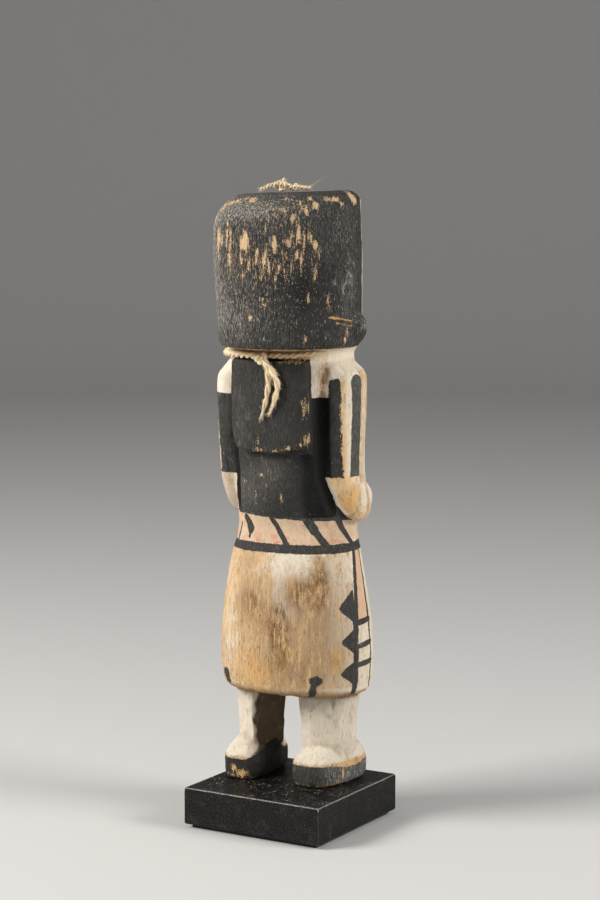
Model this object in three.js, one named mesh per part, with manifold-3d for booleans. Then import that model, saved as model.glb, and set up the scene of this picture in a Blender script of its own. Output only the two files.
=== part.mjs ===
// Carved and painted wooden katsina figure on a square plinth.
// Millimetres, +Z up. The plinth is square to the axes and the figure faces -Y, turned a little to its left.
// The origin is the centre of the felt pad's underside.

import * as THREE from "three";
import { mergeVertices } from "three/addons/utils/BufferGeometryUtils.js";
import Module from "manifold-3d";

const wasm = await Module();
wasm.setup();

// Base
const plinthSide = 60;
const plinthHeight = 14.5;
const plinthChamfer = 0.5;
const padThickness = 1.5;
const padInset = 2.2;
const seatGap = 0.3; // clearance left wherever one piece rests on another
const figureTurn = THREE.MathUtils.degToRad(5);

// Levels of the figure, measured up from its soles
const ankleZ = 14;
const hemZ = 35.6;
const waistZ = 101;
const elbowZ = 110.5;
const shoulderZ = 162.7;
const neckZ = 165.6;
const headBaseZ = 170;
const crownZ = 228;

// Half sizes and places of the main forms; middleX is the figure's middle line
const middleX = 0.5;
const head = { radius: 27.75, y: 1.8, lean: 1.6, slope: 0.035, jawRound: 2 };
const neck = { width: 24.3, depth: 17.6, y: -1.6 };
const chest = { width: 22.9, depth: 18.2, y: -2.6 };
const waist = { width: 23.2, depth: 17.4, y: -7 };
const hem = { width: 30.6, depth: 20.6, y: -6.4 };
const arm = { width: 6.5, depth: 10.2, x: 23.2, y: -1.8 };
const panel = { left: 17.8, right: -14.2, bottomZ: 130.4, topZ: 165.2, thickness: 3.2 };
const ear = { reach: 5.6, width: 5.4, height: 6.8, z: 177.4, angle: THREE.MathUtils.degToRad(8) };

// String round the neck and the scrap of tie on the crown
const stringRadius = 0.95;
const stringZ = 167.2;
const tailRadius = 0.8;
const knotAt = { x: 2.6, y: 20.4, z: 166.6 };
const tieRadius = 0.95;
const tieAngle = THREE.MathUtils.degToRad(26);

// A value on the Catmull-Rom curve between b and c, with a and d as their neighbours
function catmullRom(a, b, c, d, t) {
  const slopeIn = (c - a) / 2;
  const slopeOut = (d - b) / 2;
  const t2 = t * t;
  const t3 = t2 * t;
  const fromStart = (2 * t3 - 3 * t2 + 1) * b + (t3 - 2 * t2 + t) * slopeIn;
  const toEnd = (3 * t2 - 2 * t3) * c + (t3 - t2) * slopeOut;
  return fromStart + toEnd;
}

// Rows of numbers in between the key rows, each column eased on its own curve
function easeRows(keys, steps) {
  const at = (i) => keys[Math.min(Math.max(i, 0), keys.length - 1)];
  const rows = [];
  for (let i = 0; i < keys.length - 1; i += 1) {
    for (let s = 0; s < steps; s += 1) {
      const share = s / steps;
      rows.push(keys[i].map((now, k) => catmullRom(at(i - 1)[k], now, at(i + 1)[k], at(i + 2)[k], share)));
    }
  }
  rows.push([...keys.at(-1)]);
  return rows;
}

// Points of a superellipse: power 2 is an ellipse and higher powers are squarer
function superellipse(halfWidth, halfDepth, power, sides) {
  const points = [];
  for (let i = 0; i < sides; i += 1) {
    const angle = (i / sides) * 2 * Math.PI;
    const c = Math.cos(angle);
    const s = Math.sin(angle);
    const reach = (Math.abs(c) ** power + Math.abs(s) ** power) ** (-1 / power);
    points.push([halfWidth * c * reach, halfDepth * s * reach]);
  }
  return points;
}

// A closed skin over rings of the same number of points.
// It has a fan over each end, or as a hoop its last ring meets the first.
function skin(rings, isHoop = false) {
  const sides = rings[0].length;
  const positions = rings.flat(2);
  const index = [];
  for (let r = 0; r < (isHoop ? rings.length : rings.length - 1); r += 1) {
    const above = (r + 1) % rings.length;
    for (let i = 0; i < sides; i += 1) {
      const j = (i + 1) % sides;
      index.push(r * sides + i, r * sides + j, above * sides + j);
      index.push(r * sides + i, above * sides + j, above * sides + i);
    }
  }
  for (const [ring, flip] of isHoop ? [] : [[0, true], [rings.length - 1, false]]) {
    const centre = positions.length / 3;
    for (let axis = 0; axis < 3; axis += 1) {
      positions.push(rings[ring].reduce((sum, point) => sum + point[axis], 0) / sides);
    }
    for (let i = 0; i < sides; i += 1) {
      const a = ring * sides + i;
      const b = ring * sides + ((i + 1) % sides);
      index.push(...(flip ? [b, a, centre] : [a, b, centre]));
    }
  }
  const geometry = new THREE.BufferGeometry();
  geometry.setAttribute("position", new THREE.Float32BufferAttribute(positions, 3));
  geometry.setIndex(index);
  return geometry;
}

// A standing form from rows of [z, half width, half depth, middle y, middle x, power]
function standingForm(rows, sides) {
  return skin(rows.map(([z, width, depth, y, x, power]) =>
    superellipse(width, depth, power, sides).map(([px, py]) => [px + x, py + y, z])));
}

// A limb along a curve; size(t) gives its half sizes across and up
function limb(points, size, sides, steps) {
  const curve = new THREE.CatmullRomCurve3(points.map((p) => new THREE.Vector3(...p)));
  const rings = [];
  for (let s = 0; s <= steps; s += 1) {
    const t = (1 - Math.cos((s / steps) * Math.PI)) / 2;
    const along = curve.getTangentAt(t);
    const across = new THREE.Vector3(0, 0, 1).cross(along).normalize();
    const up = along.clone().cross(across);
    const [halfAcross, halfUp] = size(t);
    const middle = curve.getPointAt(t);
    rings.push(superellipse(halfAcross, halfUp, 2.3, sides).map(([px, py]) =>
      middle.clone().addScaledVector(across, px).addScaledVector(up, py).toArray()));
  }
  return skin(rings);
}

// A round cord of a few sides along a curve
function cord(points, radius, steps) {
  const path = new THREE.CatmullRomCurve3(points.map((p) => new THREE.Vector3(...p)));
  const section = superellipse(radius, radius, 2, 8).map(([x, y]) => new THREE.Vector2(x, y));
  const shape = new THREE.Shape(section);
  return new THREE.ExtrudeGeometry(shape, { steps, extrudePath: path, bevelEnabled: false });
}

function toSolid(geometry) {
  const bare = geometry.clone();
  bare.deleteAttribute("normal");
  bare.deleteAttribute("uv");
  const merged = mergeVertices(bare, 1e-4);
  return new wasm.Manifold(new wasm.Mesh({
    numProp: 3,
    vertProperties: new Float32Array(merged.attributes.position.array),
    triVerts: new Uint32Array(merged.index.array),
  }));
}

function join(forms) {
  const solids = forms.map((form) => (form instanceof wasm.Manifold ? form : toSolid(form)));
  return solids.reduce((whole, piece) => whole.add(piece));
}

function namedMesh(name, form, material) {
  let geometry = form;
  if (form instanceof wasm.Manifold) {
    const { vertProperties, triVerts } = form.getMesh();
    geometry = new THREE.BufferGeometry();
    geometry.setAttribute("position", new THREE.BufferAttribute(vertProperties, 3));
    geometry.setIndex(new THREE.BufferAttribute(triVerts, 1));
  }
  geometry.computeVertexNormals();
  const mesh = new THREE.Mesh(geometry, material);
  mesh.name = name;
  return mesh;
}

// Torso and kilt in one run, from the hem up to the scooped neck
function makeTrunk() {
  const x = middleX;
  return standingForm(easeRows([
    [hemZ, hem.width - 6, hem.depth - 5, hem.y, x, 2.25],
    [hemZ + 0.7, hem.width - 2.9, hem.depth - 2.6, hem.y, x, 2.25],
    [hemZ + 3.4, hem.width - 0.9, hem.depth - 0.7, hem.y, x, 2.25],
    [hemZ + 12, hem.width, hem.depth, hem.y, x, 2.25],
    [hemZ + 27, hem.width - 0.5, hem.depth, hem.y + 0.3, x, 2.25],
    [hemZ + 45, hem.width - 3.4, hem.depth - 0.9, hem.y + 0.9, x, 2.25],
    [waistZ - 6, waist.width + 0.9, waist.depth + 0.9, waist.y + 0.3, x, 2.25],
    [waistZ, waist.width, waist.depth, waist.y, x, 2.25],
    [waistZ + 8, waist.width - 0.1, waist.depth + 0.3, waist.y + 1.4, x, 2.3],
    [waistZ + 21, chest.width + 0.3, chest.depth - 0.2, chest.y - 1.2, x, 2.35],
    [waistZ + 42, chest.width, chest.depth, chest.y, x, 2.35],
    [shoulderZ - 3, chest.width + 0.6, chest.depth - 0.4, chest.y + 0.3, x, 2.4],
    [neckZ, neck.width, neck.depth, neck.y, x - 0.3, 2.3],
    [neckZ + 2.6, neck.width, neck.depth, neck.y + 0.2, x - 0.3, 2.3],
    [headBaseZ + 0.8, neck.width + 2.3, neck.depth + 2.2, neck.y + 0.6, x - 0.4, 2.2],
  ], 2), 40);
}

// The case mask: a drum with a small round at the jaw.
// Its crown edge is soft on the figure's left and tight on its right.
function makeHead() {
  const height = crownZ - headBaseZ;
  const softSide = THREE.MathUtils.degToRad(26);
  const cornerSteps = 5;
  const sides = 42;
  const barrel = (rise) => head.radius + 0.4 * Math.sin(Math.PI * rise) - 0.8 * (1 - rise) ** 3;
  const place = (angle, z, radius) => {
    const rise = (z - headBaseZ) / height;
    const x = -0.6 + head.lean * rise + radius * Math.cos(angle);
    const slope = head.slope * Math.max(0, rise - 0.5) * 2;
    return [x, head.y + radius * Math.sin(angle), z - slope * x];
  };
  const ring = (pointAt) => Array.from({ length: sides }, (_, i) => pointAt((i / sides) * 2 * Math.PI));
  const corners = Array.from({ length: cornerSteps + 1 }, (_, i) => (i / cornerSteps) * Math.PI / 2);
  const jaw = corners.map((turn) => ring((angle) => {
    const z = headBaseZ + head.jawRound * (1 - Math.cos(turn));
    return place(angle, z, barrel(0) - head.jawRound * (1 - Math.sin(turn)));
  }));
  const wall = [0.2, 0.38, 0.56, 0.72].map((rise) =>
    ring((angle) => place(angle, headBaseZ + rise * height, barrel(rise))));
  const crown = corners.map((turn) => ring((angle) => {
    const soft = 0.5 + 0.5 * Math.cos(angle - softSide);
    const fall = THREE.MathUtils.lerp(4, 13.2, soft) * (1 - Math.sin(turn));
    const inset = THREE.MathUtils.lerp(4.8, 11, soft) * (1 - Math.cos(turn)) ** 0.8;
    return place(angle, crownZ - fall, barrel(0.8) - inset);
  }));
  return skin([...jaw, ...wall, ...crown]);
}

// A low round ear on each side of the mask
function makeEar(side) {
  const form = new THREE.SphereGeometry(1, 14, 10);
  form.scale(ear.reach, ear.width, ear.height);
  form.translate(head.radius - 2.6, 0, 0);
  form.rotateZ(side > 0 ? -ear.angle : Math.PI + ear.angle);
  form.translate(0, head.y, ear.z);
  return form;
}

// An arm hangs close against the chest, bends at the elbow and lies across the belly.
// elbowForward is how much further to the front the elbow's tip is than the shoulder,
// taper how much narrower the arm gets above the elbow, and drop how far its shoulder sits lower.
function makeArm({ side, elbowForward, taper, drop }) {
  const across = (x) => middleX + side * x;
  const topZ = shoulderZ - drop;
  const lowWidth = arm.width - 0.1 - taper;
  const tipY = arm.y - elbowForward;
  const upper = standingForm(easeRows([
    [elbowZ - 8, arm.width - 4.2, arm.depth - 7.6, tipY - 0.6, across(arm.x), 2.2],
    [elbowZ - 6.8, arm.width - 1.9, arm.depth - 4.6, tipY, across(arm.x), 2.2],
    [elbowZ - 3, arm.width - 0.2, arm.depth - 2, tipY + 1.4, across(arm.x + 0.2), 2.3],
    [elbowZ + 3.5, arm.width, arm.depth - 0.8, arm.y - 0.45 * elbowForward, across(arm.x + 0.1), 2.3],
    [elbowZ + 12, lowWidth, arm.depth - 0.2, arm.y - 0.14 * elbowForward, across(arm.x - 0.1 - taper), 2.4],
    [elbowZ + 30, arm.width - 0.1 - 0.3 * taper, arm.depth, arm.y, across(arm.x - 0.1 - 0.3 * taper), 2.4],
    [topZ - 7, arm.width, arm.depth, arm.y, across(arm.x), 2.4],
    [topZ - 2.6, arm.width - 0.5, arm.depth - 0.8, arm.y, across(arm.x - 0.3), 2.4],
    [topZ - 0.4, arm.width - 2.2, arm.depth - 3, arm.y, across(arm.x - 1.2), 2.3],
    [topZ, arm.width - 4.4, arm.depth - 6, arm.y, across(arm.x - 2), 2.2],
  ], 2), 20);
  const path = [
    [across(23.2), tipY + 1, elbowZ - 0.4],
    [across(22.6), tipY - 5, elbowZ - 0.2],
    [across(17.2), -19.2, elbowZ + 2.6],
    [across(9), -24, elbowZ + 6],
  ];
  const dome = (t) => Math.sqrt(Math.max(0.03, 1 - Math.abs(2 * t - 1) ** 5));
  const lower = limb(path, (t) => [(6 - 1.1 * t) * dome(t), (7.6 - 1.9 * t) * dome(t)], 16, 11);
  return toSolid(upper).add(toSolid(lower));
}

// The yoke that carries the shoulders across the top of the chest and up into the neck
function makeYoke() {
  const reach = arm.x + arm.width - 0.5;
  const x = middleX - 0.5;
  return standingForm(easeRows([
    [shoulderZ - 16, reach - 12, 9.4, arm.y, x, 2.4],
    [shoulderZ - 6, reach - 2.4, 13, arm.y, x, 2.5],
    [shoulderZ - 2, reach - 1, 14.4, arm.y, x, 2.6],
    [shoulderZ - 0.2, reach - 3, 15.2, arm.y, x, 2.5],
    [neckZ, neck.width - 0.6, 15.6, arm.y, middleX, 2.4],
  ], 2), 32);
}

// The hair panel: a raised slab that follows the back, square at the top, its lower left corner eased
function makeHairPanel() {
  const { left, right, bottomZ, topZ, thickness } = panel;
  const outline = new THREE.Shape();
  outline.moveTo(left, topZ);
  outline.lineTo(right, topZ);
  outline.lineTo(right, bottomZ + 4);
  outline.lineTo(right + 2.6, bottomZ + 1.6);
  outline.lineTo(0, bottomZ);
  outline.lineTo(left - 5, bottomZ + 0.6);
  outline.quadraticCurveTo(left - 2.4, bottomZ + 0.8, left - 1.4, bottomZ + 5);
  outline.quadraticCurveTo(left, bottomZ + 9, left, bottomZ + 15);
  const backwards = 30;
  const cut = { depth: backwards, bevelEnabled: false, curveSegments: 4 };
  const prism = new THREE.ExtrudeGeometry(outline, cut);
  prism.rotateX(Math.PI / 2);
  prism.translate(0, backwards, 0);
  const cover = standingForm([
    [bottomZ - 4, chest.width + 3.4, chest.depth + thickness, chest.y - 0.3, middleX, 2.7],
    [bottomZ + 18, chest.width + 3.4, chest.depth + thickness, chest.y, middleX, 2.7],
    [topZ + 3, chest.width + 3, chest.depth + thickness - 0.8, chest.y + 0.4, middleX, 2.6],
  ], 40);
  return toSolid(cover).intersect(toSolid(prism));
}

// The step between the back and an arm: a wedge that trims the back level with the arm beside it.
// Each level gives its height and how far outwards and backwards the wedge has moved there.
function makeArmStep(side) {
  const outline = [[17.6, 30], [17.6, 7.2], [18.6, 7.9], [21.6, 8.7], [21.6, 30]];
  const levels = [
    [elbowZ - 6.5, 5.5, -2.5],
    [elbowZ - 0.5, 3.2, -1.5],
    [elbowZ + 8.5, 0.5, 0],
    [elbowZ + 15.5, 0, 0],
    [shoulderZ - 13, 0, 0],
    [shoulderZ - 2, 0.5, 6],
  ];
  return skin(levels.map(([z, outwards, backwards]) => {
    const ring = outline.map(([x, y]) => [middleX + side * (x + outwards), y + backwards, z]);
    return side > 0 ? ring : ring.reverse();
  }));
}

// One leg: a knife-cut post with flat facets, and a foot with an upright sole and a sloped instep
function makeLeg({ corners, footX, footY, footHalf, toeOut }) {
  const middle = [0, 1].map((axis) => corners.reduce((sum, p) => sum + p[axis], 0) / corners.length);
  const levels = [[1, 0.62], [ankleZ - 5, 0.84], [ankleZ + 2, 1], [ankleZ + 9, 1.02], [hemZ + 2, 1.16]];
  const post = skin(levels.map(([z, scale]) =>
    corners.map((p) => [...p.map((value, axis) => middle[axis] + (value - middle[axis]) * scale), z])));
  const foot = standingForm(easeRows([
    [0, footHalf - 0.8, 16.3, 0, 0, 2.9],
    [1, footHalf - 0.1, 16.9, 0, 0, 2.9],
    [8, footHalf, 17, 0, 0, 2.8],
    [10.8, footHalf - 0.9, 16, 0, 0, 2.6],
    [13.4, footHalf - 2.4, 14.2, -0.2, 0, 2.4],
    [15.4, footHalf - 4.4, 11, -0.6, 0, 2.3],
  ], 2), 24);
  foot.rotateZ(toeOut);
  foot.translate(footX, footY, 0);
  return toSolid(post).add(toSolid(foot));
}

function makeFigure() {
  const leftLeg = makeLeg({
    corners: [[24.2, -8], [22.8, -0.5], [15.3, 2.5], [8.1, -9.8], [11.4, -16.6], [22.6, -16.2]],
    footX: 19.8,
    footY: -8.9,
    footHalf: 8.8,
    toeOut: 0.01,
  });
  const rightLeg = makeLeg({
    corners: [
      [-2.4, -7], [-4.8, 0.4], [-10, 2.9], [-19.6, -2.4],
      [-23, -8.5], [-21, -15.5], [-13, -17.4], [-3.8, -15],
    ],
    footX: -12.3,
    footY: -8.9,
    footHalf: 9.4,
    toeOut: -0.2,
  });
  const leftArm = makeArm({ side: 1, elbowForward: 10, taper: 0, drop: 0.9 });
  const rightArm = makeArm({ side: -1, elbowForward: 6.5, taper: 0.6, drop: 0 });
  const ears = [makeEar(1), makeEar(-1)];
  const trunk = toSolid(makeTrunk()).subtract(join([makeArmStep(1), makeArmStep(-1)]));
  const limbs = [leftArm, rightArm, leftLeg, rightLeg];
  return join([trunk, makeYoke(), makeHead(), ...ears, makeHairPanel(), ...limbs]);
}

// The string round the neck, its knot at the back and two cut ends over the hair panel
function makeNeckString() {
  const clear = stringRadius + seatGap + 0.15;
  const loopAt = (outset) => superellipse(neck.width + clear + outset, neck.depth + clear + outset, 2.3, 48);
  const around = superellipse(stringRadius, stringRadius, 2, 8).map(([outset, down]) =>
    loopAt(outset).map(([x, y]) => [x + middleX - 0.3, y + neck.y + 0.2, stringZ - down]));
  const loop = skin(around[0].map((_, i) => around.map((line) => line[i])), true);
  const knot = new THREE.SphereGeometry(2, 12, 8);
  knot.scale(1.4, 1.1, 0.95);
  knot.translate(knotAt.x, knotAt.y, knotAt.z);
  const tailY = knotAt.y - 0.2;
  const tail = (line) => cord(line.map(([x, z]) => [x, tailY, z]), tailRadius, 11);
  const outerTail = tail([[1.4, 166], [-1.5, 161], [-4.8, 157], [-3.6, 150.6], [-1.2, 146]]);
  const innerTail = tail([[2.2, 165.8], [-0.6, 160], [-0.2, 154], [1.3, 147.4], [3.1, 143]]);
  return join([loop, knot, outerTail, innerTail]);
}

// The scrap of fibre on the crown: a small knot, two strands along the crown and a short one on end
function makeCrownTie() {
  const knotRadius = 1.5;
  const knot = [2.6, 1, crownZ + seatGap + knotRadius];
  const along = ([distance, lift]) =>
    [knot[0] + distance * Math.cos(tieAngle), knot[1] + distance * Math.sin(tieAngle), knot[2] + lift];
  const strand = (line, radius, steps) => cord(line.map(along), radius, steps);
  const knotBall = new THREE.SphereGeometry(knotRadius, 10, 7);
  knotBall.translate(...knot);
  return join([
    knotBall,
    strand([[-0.4, 0], [2.6, 1], [5.4, 0.2], [7.6, -0.3], [9.2, -0.6]], tieRadius, 8),
    strand([[0.3, 0.2], [-2.6, 0], [-5.6, 0.4], [-7.6, 0.3], [-9.6, 0.2]], tieRadius, 8),
    strand([[0.4, 0.4], [1, 1.4], [-0.6, 3.2]], tieRadius * 0.9, 4),
  ]);
}

// A square block with a narrow chamfer round its top and bottom
function makePlinth() {
  const half = plinthSide / 2;
  const square = (size, z) => [[size, size, z], [-size, size, z], [-size, -size, z], [size, -size, z]];
  return skin([
    square(half - plinthChamfer, padThickness),
    square(half, padThickness + plinthChamfer),
    square(half, padThickness + plinthHeight - plinthChamfer),
    square(half - plinthChamfer, padThickness + plinthHeight),
  ]);
}

function makePad() {
  const side = plinthSide - 2 * padInset;
  const pad = new THREE.BoxGeometry(side, side, padThickness);
  pad.translate(0, 0, padThickness / 2);
  return pad;
}

const wood = new THREE.MeshStandardMaterial({ color: 0x8d8578, roughness: 0.85, metalness: 0 });
const twine = new THREE.MeshStandardMaterial({ color: 0xc9ad7f, roughness: 0.95, metalness: 0 });
const lacquer = new THREE.MeshStandardMaterial({ color: 0x111112, roughness: 0.35, metalness: 0 });
const felt = new THREE.MeshStandardMaterial({ color: 0x0b0b0c, roughness: 1, metalness: 0 });

const doll = new THREE.Group();
doll.position.z = padThickness + plinthHeight + seatGap;
doll.rotation.z = figureTurn;
doll.add(namedMesh("figure", makeFigure(), wood));
doll.add(namedMesh("neck_string", makeNeckString(), twine));
doll.add(namedMesh("crown_tie", makeCrownTie(), twine));

const group = new THREE.Group();
group.add(namedMesh("felt_pad", makePad(), felt));
group.add(namedMesh("plinth", makePlinth(), lacquer));
group.add(doll);

export default group;
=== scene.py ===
import itertools
import math
import random

import bmesh
import bpy
import numpy as np
from mathutils import Matrix, Vector, kdtree, noise


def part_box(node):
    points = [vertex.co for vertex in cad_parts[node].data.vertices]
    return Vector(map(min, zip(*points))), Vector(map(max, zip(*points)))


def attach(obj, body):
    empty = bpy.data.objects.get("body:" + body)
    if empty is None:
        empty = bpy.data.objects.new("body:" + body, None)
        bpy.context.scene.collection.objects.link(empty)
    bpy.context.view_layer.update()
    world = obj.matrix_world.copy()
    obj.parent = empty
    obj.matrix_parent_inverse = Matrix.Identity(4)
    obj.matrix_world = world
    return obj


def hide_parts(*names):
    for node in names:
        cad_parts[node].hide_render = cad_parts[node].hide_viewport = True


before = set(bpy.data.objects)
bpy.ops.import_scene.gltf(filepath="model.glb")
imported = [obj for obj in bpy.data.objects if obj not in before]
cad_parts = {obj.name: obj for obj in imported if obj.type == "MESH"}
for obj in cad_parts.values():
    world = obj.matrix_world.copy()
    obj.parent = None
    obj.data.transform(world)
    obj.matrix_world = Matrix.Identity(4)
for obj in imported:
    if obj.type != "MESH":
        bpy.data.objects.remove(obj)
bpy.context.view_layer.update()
scene = bpy.context.scene
mm = 0.001
print("frame loaded:", ", ".join(sorted(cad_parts)))


# camera, light and floor

view = {
    "cameraAt": (-0.47305, 0.7818, 0.2596),
    "tiltDown": 7.09,          # degrees
    "heading": 210.96,
    "lens": 96,
    "lookAt": (0, 0, 0.13),
    # azimuth from the camera towards its left, elevation, distance, power, size, colour
    "lights": {
        "key": (72, 32, 1.1, 14.2, 0.45, (1.0, 0.97, 0.93)),
        "side": (-66, 24, 1.1, 9.0, 0.4, (1.0, 0.98, 0.95)),
        "top": (20, 82, 1.2, 2.0, 0.7, (1.0, 1.0, 1.0)),
    },
    "floorRadius": 1.7, "sweepRadius": 0.9, "wallHeight": 1.6,
    "floorColour": (0.6, 0.595, 0.585, 1),
    "skyColour": (0.85, 0.87, 0.9, 1), "skyStrength": 0.2,
}


def makeCamera():
    data = bpy.data.cameras.new("main_view")
    data.lens = view["lens"]
    data.sensor_width = 36
    data.clip_start = 0.02
    data.clip_end = 40
    camera = bpy.data.objects.new("main_view", data)
    camera.location = view["cameraAt"]
    camera.rotation_euler = (math.radians(90 - view["tiltDown"]), 0, math.radians(view["heading"]))
    scene.collection.objects.link(camera)
    scene.camera = camera


def makeLight(name, azimuth, elevation, distance, power, size, colour):
    toCamera = Vector(view["cameraAt"]) - Vector(view["lookAt"])
    start = math.atan2(toCamera.y, toCamera.x) - math.radians(azimuth)
    rise = math.radians(elevation)
    away = Vector((math.cos(start) * math.cos(rise), math.sin(start) * math.cos(rise), math.sin(rise)))
    data = bpy.data.lights.new(name, "AREA")
    data.energy = power
    data.size = size
    data.color = colour
    lamp = bpy.data.objects.new(name, data)
    lamp.location = Vector(view["lookAt"]) + away * distance
    lamp.rotation_euler = away.to_track_quat("Z", "Y").to_euler()
    scene.collection.objects.link(lamp)


def makeStage():
    # a round floor that sweeps up into a low wall
    bm = bmesh.new()
    bmesh.ops.create_circle(bm, cap_ends=True, segments=72, radius=view["floorRadius"])
    rim = [edge for edge in bm.edges if edge.is_boundary]
    reach, height = view["floorRadius"], 0.0
    for step in range(1, 13):
        angle = math.radians(min(step, 11) * 90 / 11)
        newReach = view["floorRadius"] + view["sweepRadius"] * math.sin(angle)
        newHeight = view["sweepRadius"] * (1 - math.cos(angle)) + (view["wallHeight"] if step == 12 else 0)
        grown = bmesh.ops.extrude_edge_only(bm, edges=rim)["geom"]
        ring = [item for item in grown if isinstance(item, bmesh.types.BMVert)]
        rim = [item for item in grown if isinstance(item, bmesh.types.BMEdge) and item.is_boundary]
        bmesh.ops.scale(bm, vec=(newReach / reach, newReach / reach, 1), verts=ring)
        bmesh.ops.translate(bm, vec=(0, 0, newHeight - height), verts=ring)
        reach, height = newReach, newHeight
    bmesh.ops.recalc_face_normals(bm, faces=bm.faces)
    mesh = bpy.data.meshes.new("floor")
    bm.to_mesh(mesh)
    bm.free()
    mesh.polygons.foreach_set("use_smooth", [True] * len(mesh.polygons))
    floor = bpy.data.objects.new("floor", mesh)
    scene.collection.objects.link(floor)
    paper = bpy.data.materials.new("floor_paper")
    paper.use_nodes = True
    shader = paper.node_tree.nodes["Principled BSDF"]
    shader.inputs["Base Color"].default_value = view["floorColour"]
    shader.inputs["Roughness"].default_value = 0.9
    mesh.materials.append(paper)
    sky = bpy.data.worlds.new("studio")
    sky.use_nodes = True
    sky.node_tree.nodes["Background"].inputs[0].default_value = view["skyColour"]
    sky.node_tree.nodes["Background"].inputs[1].default_value = view["skyStrength"]
    scene.world = sky


makeCamera()
for lightName, settings in view["lights"].items():
    makeLight(lightName, *settings)
makeStage()
scene.view_settings.view_transform = "Standard"
print("camera, lights and floor ready")


# helpers for nodes and meshes

def addNode(tree, kind, values=None, **settings):
    made = tree.nodes.new(kind)
    for key, value in settings.items():
        setattr(made, key, value)
    for key, value in (values or {}).items():
        if isinstance(value, bpy.types.NodeSocket):
            tree.links.new(value, made.inputs[key])
        else:
            made.inputs[key].default_value = value
    return made


def treeOf(values):
    # the node tree that the sockets among these values are in
    return next(value.id_data for value in values if isinstance(value, bpy.types.NodeSocket))


def join(value, socket):
    socket.id_data.links.new(value, socket)


def calc(operation, *values):
    return addNode(treeOf(values), "ShaderNodeMath", dict(enumerate(values)), operation=operation).outputs[0]


def add(a, b):
    return calc("ADD", a, b)


def minus(a, b):
    return calc("SUBTRACT", a, b)


def times(a, b):
    return calc("MULTIPLY", a, b)


def timesAdd(a, b, c):
    return calc("MULTIPLY_ADD", a, b, c)


def allOf(whole, *fields):
    for field in fields:
        whole = calc("MINIMUM", whole, field)
    return whole


def anyOf(whole, *fields):
    for field in fields:
        whole = calc("MAXIMUM", whole, field)
    return whole


def within(value, low, high):
    return allOf(minus(value, low), minus(high, value))


def layer(share, under, over):
    values = {0: share, 6: under, 7: over}
    return addNode(treeOf(values.values()), "ShaderNodeMix", values, data_type="RGBA").outputs[2]


def fade(value, low, high):
    values = {0: value, 1: low, 2: high}
    return addNode(treeOf([value]), "ShaderNodeMapRange", values, interpolation_type="SMOOTHSTEP").outputs[0]


def noiseAt(vector, scale, stretch=(1, 1, 1), detail=3, roughness=0.55, distortion=0):
    tree = treeOf([vector])
    place = addNode(tree, "ShaderNodeVectorMath", {0: vector, 1: stretch}, operation="MULTIPLY").outputs[0]
    return addNode(tree, "ShaderNodeTexNoise", {
        "Vector": place, "Scale": scale, "Detail": detail,
        "Roughness": roughness, "Distortion": distortion}).outputs["Fac"]


def startGroup(name, inputs, outputs):
    tree = bpy.data.node_groups.new(name, "ShaderNodeTree")
    for label in inputs:
        kind = "NodeSocketVector" if label == "Vector" else "NodeSocketFloat"
        tree.interface.new_socket(label, in_out="INPUT", socket_type=kind)
    for label in outputs:
        tree.interface.new_socket(label, in_out="OUTPUT", socket_type="NodeSocketFloat")
    return tree, tree.nodes.new("NodeGroupInput").outputs, tree.nodes.new("NodeGroupOutput").inputs


def useGroup(group, values):
    return addNode(treeOf(values.values()), "ShaderNodeGroup", values, node_tree=group).outputs


def startMaterial(name, base=0, turn=0):
    # a shader, and a place in mm that is measured up from the base and turned by some degrees
    material = bpy.data.materials.new(name)
    material.use_nodes = True
    tree = material.node_tree
    coords = addNode(tree, "ShaderNodeTexCoord").outputs["Object"]
    place = addNode(tree, "ShaderNodeMapping", {
        "Vector": coords, "Location": (0, 0, -base / mm), "Scale": (1 / mm, 1 / mm, 1 / mm),
        "Rotation": (0, 0, math.radians(-turn))}).outputs[0]
    return material, tree.nodes["Principled BSDF"], place


def partsOf(vector):
    return addNode(treeOf([vector]), "ShaderNodeSeparateXYZ", {0: vector}).outputs


def addBump(shader, height, strength, distance):
    values = {"Strength": strength, "Distance": distance, "Height": height}
    join(addNode(treeOf([height]), "ShaderNodeBump", values).outputs[0], shader.inputs["Normal"])


def makeGrainGroup():
    # upright wood grain: tone runs 0-1, pores are short dark dashes, height is in mm
    tree, given, result = startGroup(
        "wood_grain", ["Vector", "Pore depth", "More pores"], ["Tone", "Pores", "Height"])
    broad = noiseAt(given["Vector"], 0.5, (1, 1, 0.1), 4, 0.6, 0.3)
    fine = noiseAt(given["Vector"], 2.2, (1, 1, 0.09), 4, 0.65)
    tone = add(times(broad, 0.5), times(fine, 0.5))
    dashes = noiseAt(given["Vector"], 2.3, (1, 1, 0.17), 2, 0.5)
    pores = fade(add(dashes, given["More pores"]), 0.66, 0.74)
    ridges = times(fine, 0.22)
    height = minus(ridges, times(pores, given["Pore depth"]))
    join(fade(tone, 0.33, 0.67), result["Tone"])
    join(pores, result["Pores"])
    join(height, result["Height"])
    return tree


def makeRaggedGroup():
    # turns a distance in mm, positive inside, into a mask with a brushed, slightly ragged edge
    tree, given, result = startGroup("ragged_edge", ["Vector", "Distance", "Rag", "Soft"], ["Mask"])
    broad = noiseAt(given["Vector"], 0.5, (1, 1, 0.6), 2, 0.5)
    fine = noiseAt(given["Vector"], 2.4, (1, 1, 0.4), 3, 0.6)
    wobble = minus(timesAdd(fine, 0.5, times(broad, 0.5)), 0.5)
    moved = timesAdd(wobble, given["Rag"], given["Distance"])
    low = times(given["Soft"], -1)
    join(fade(moved, low, given["Soft"]), result["Mask"])
    return tree


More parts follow.
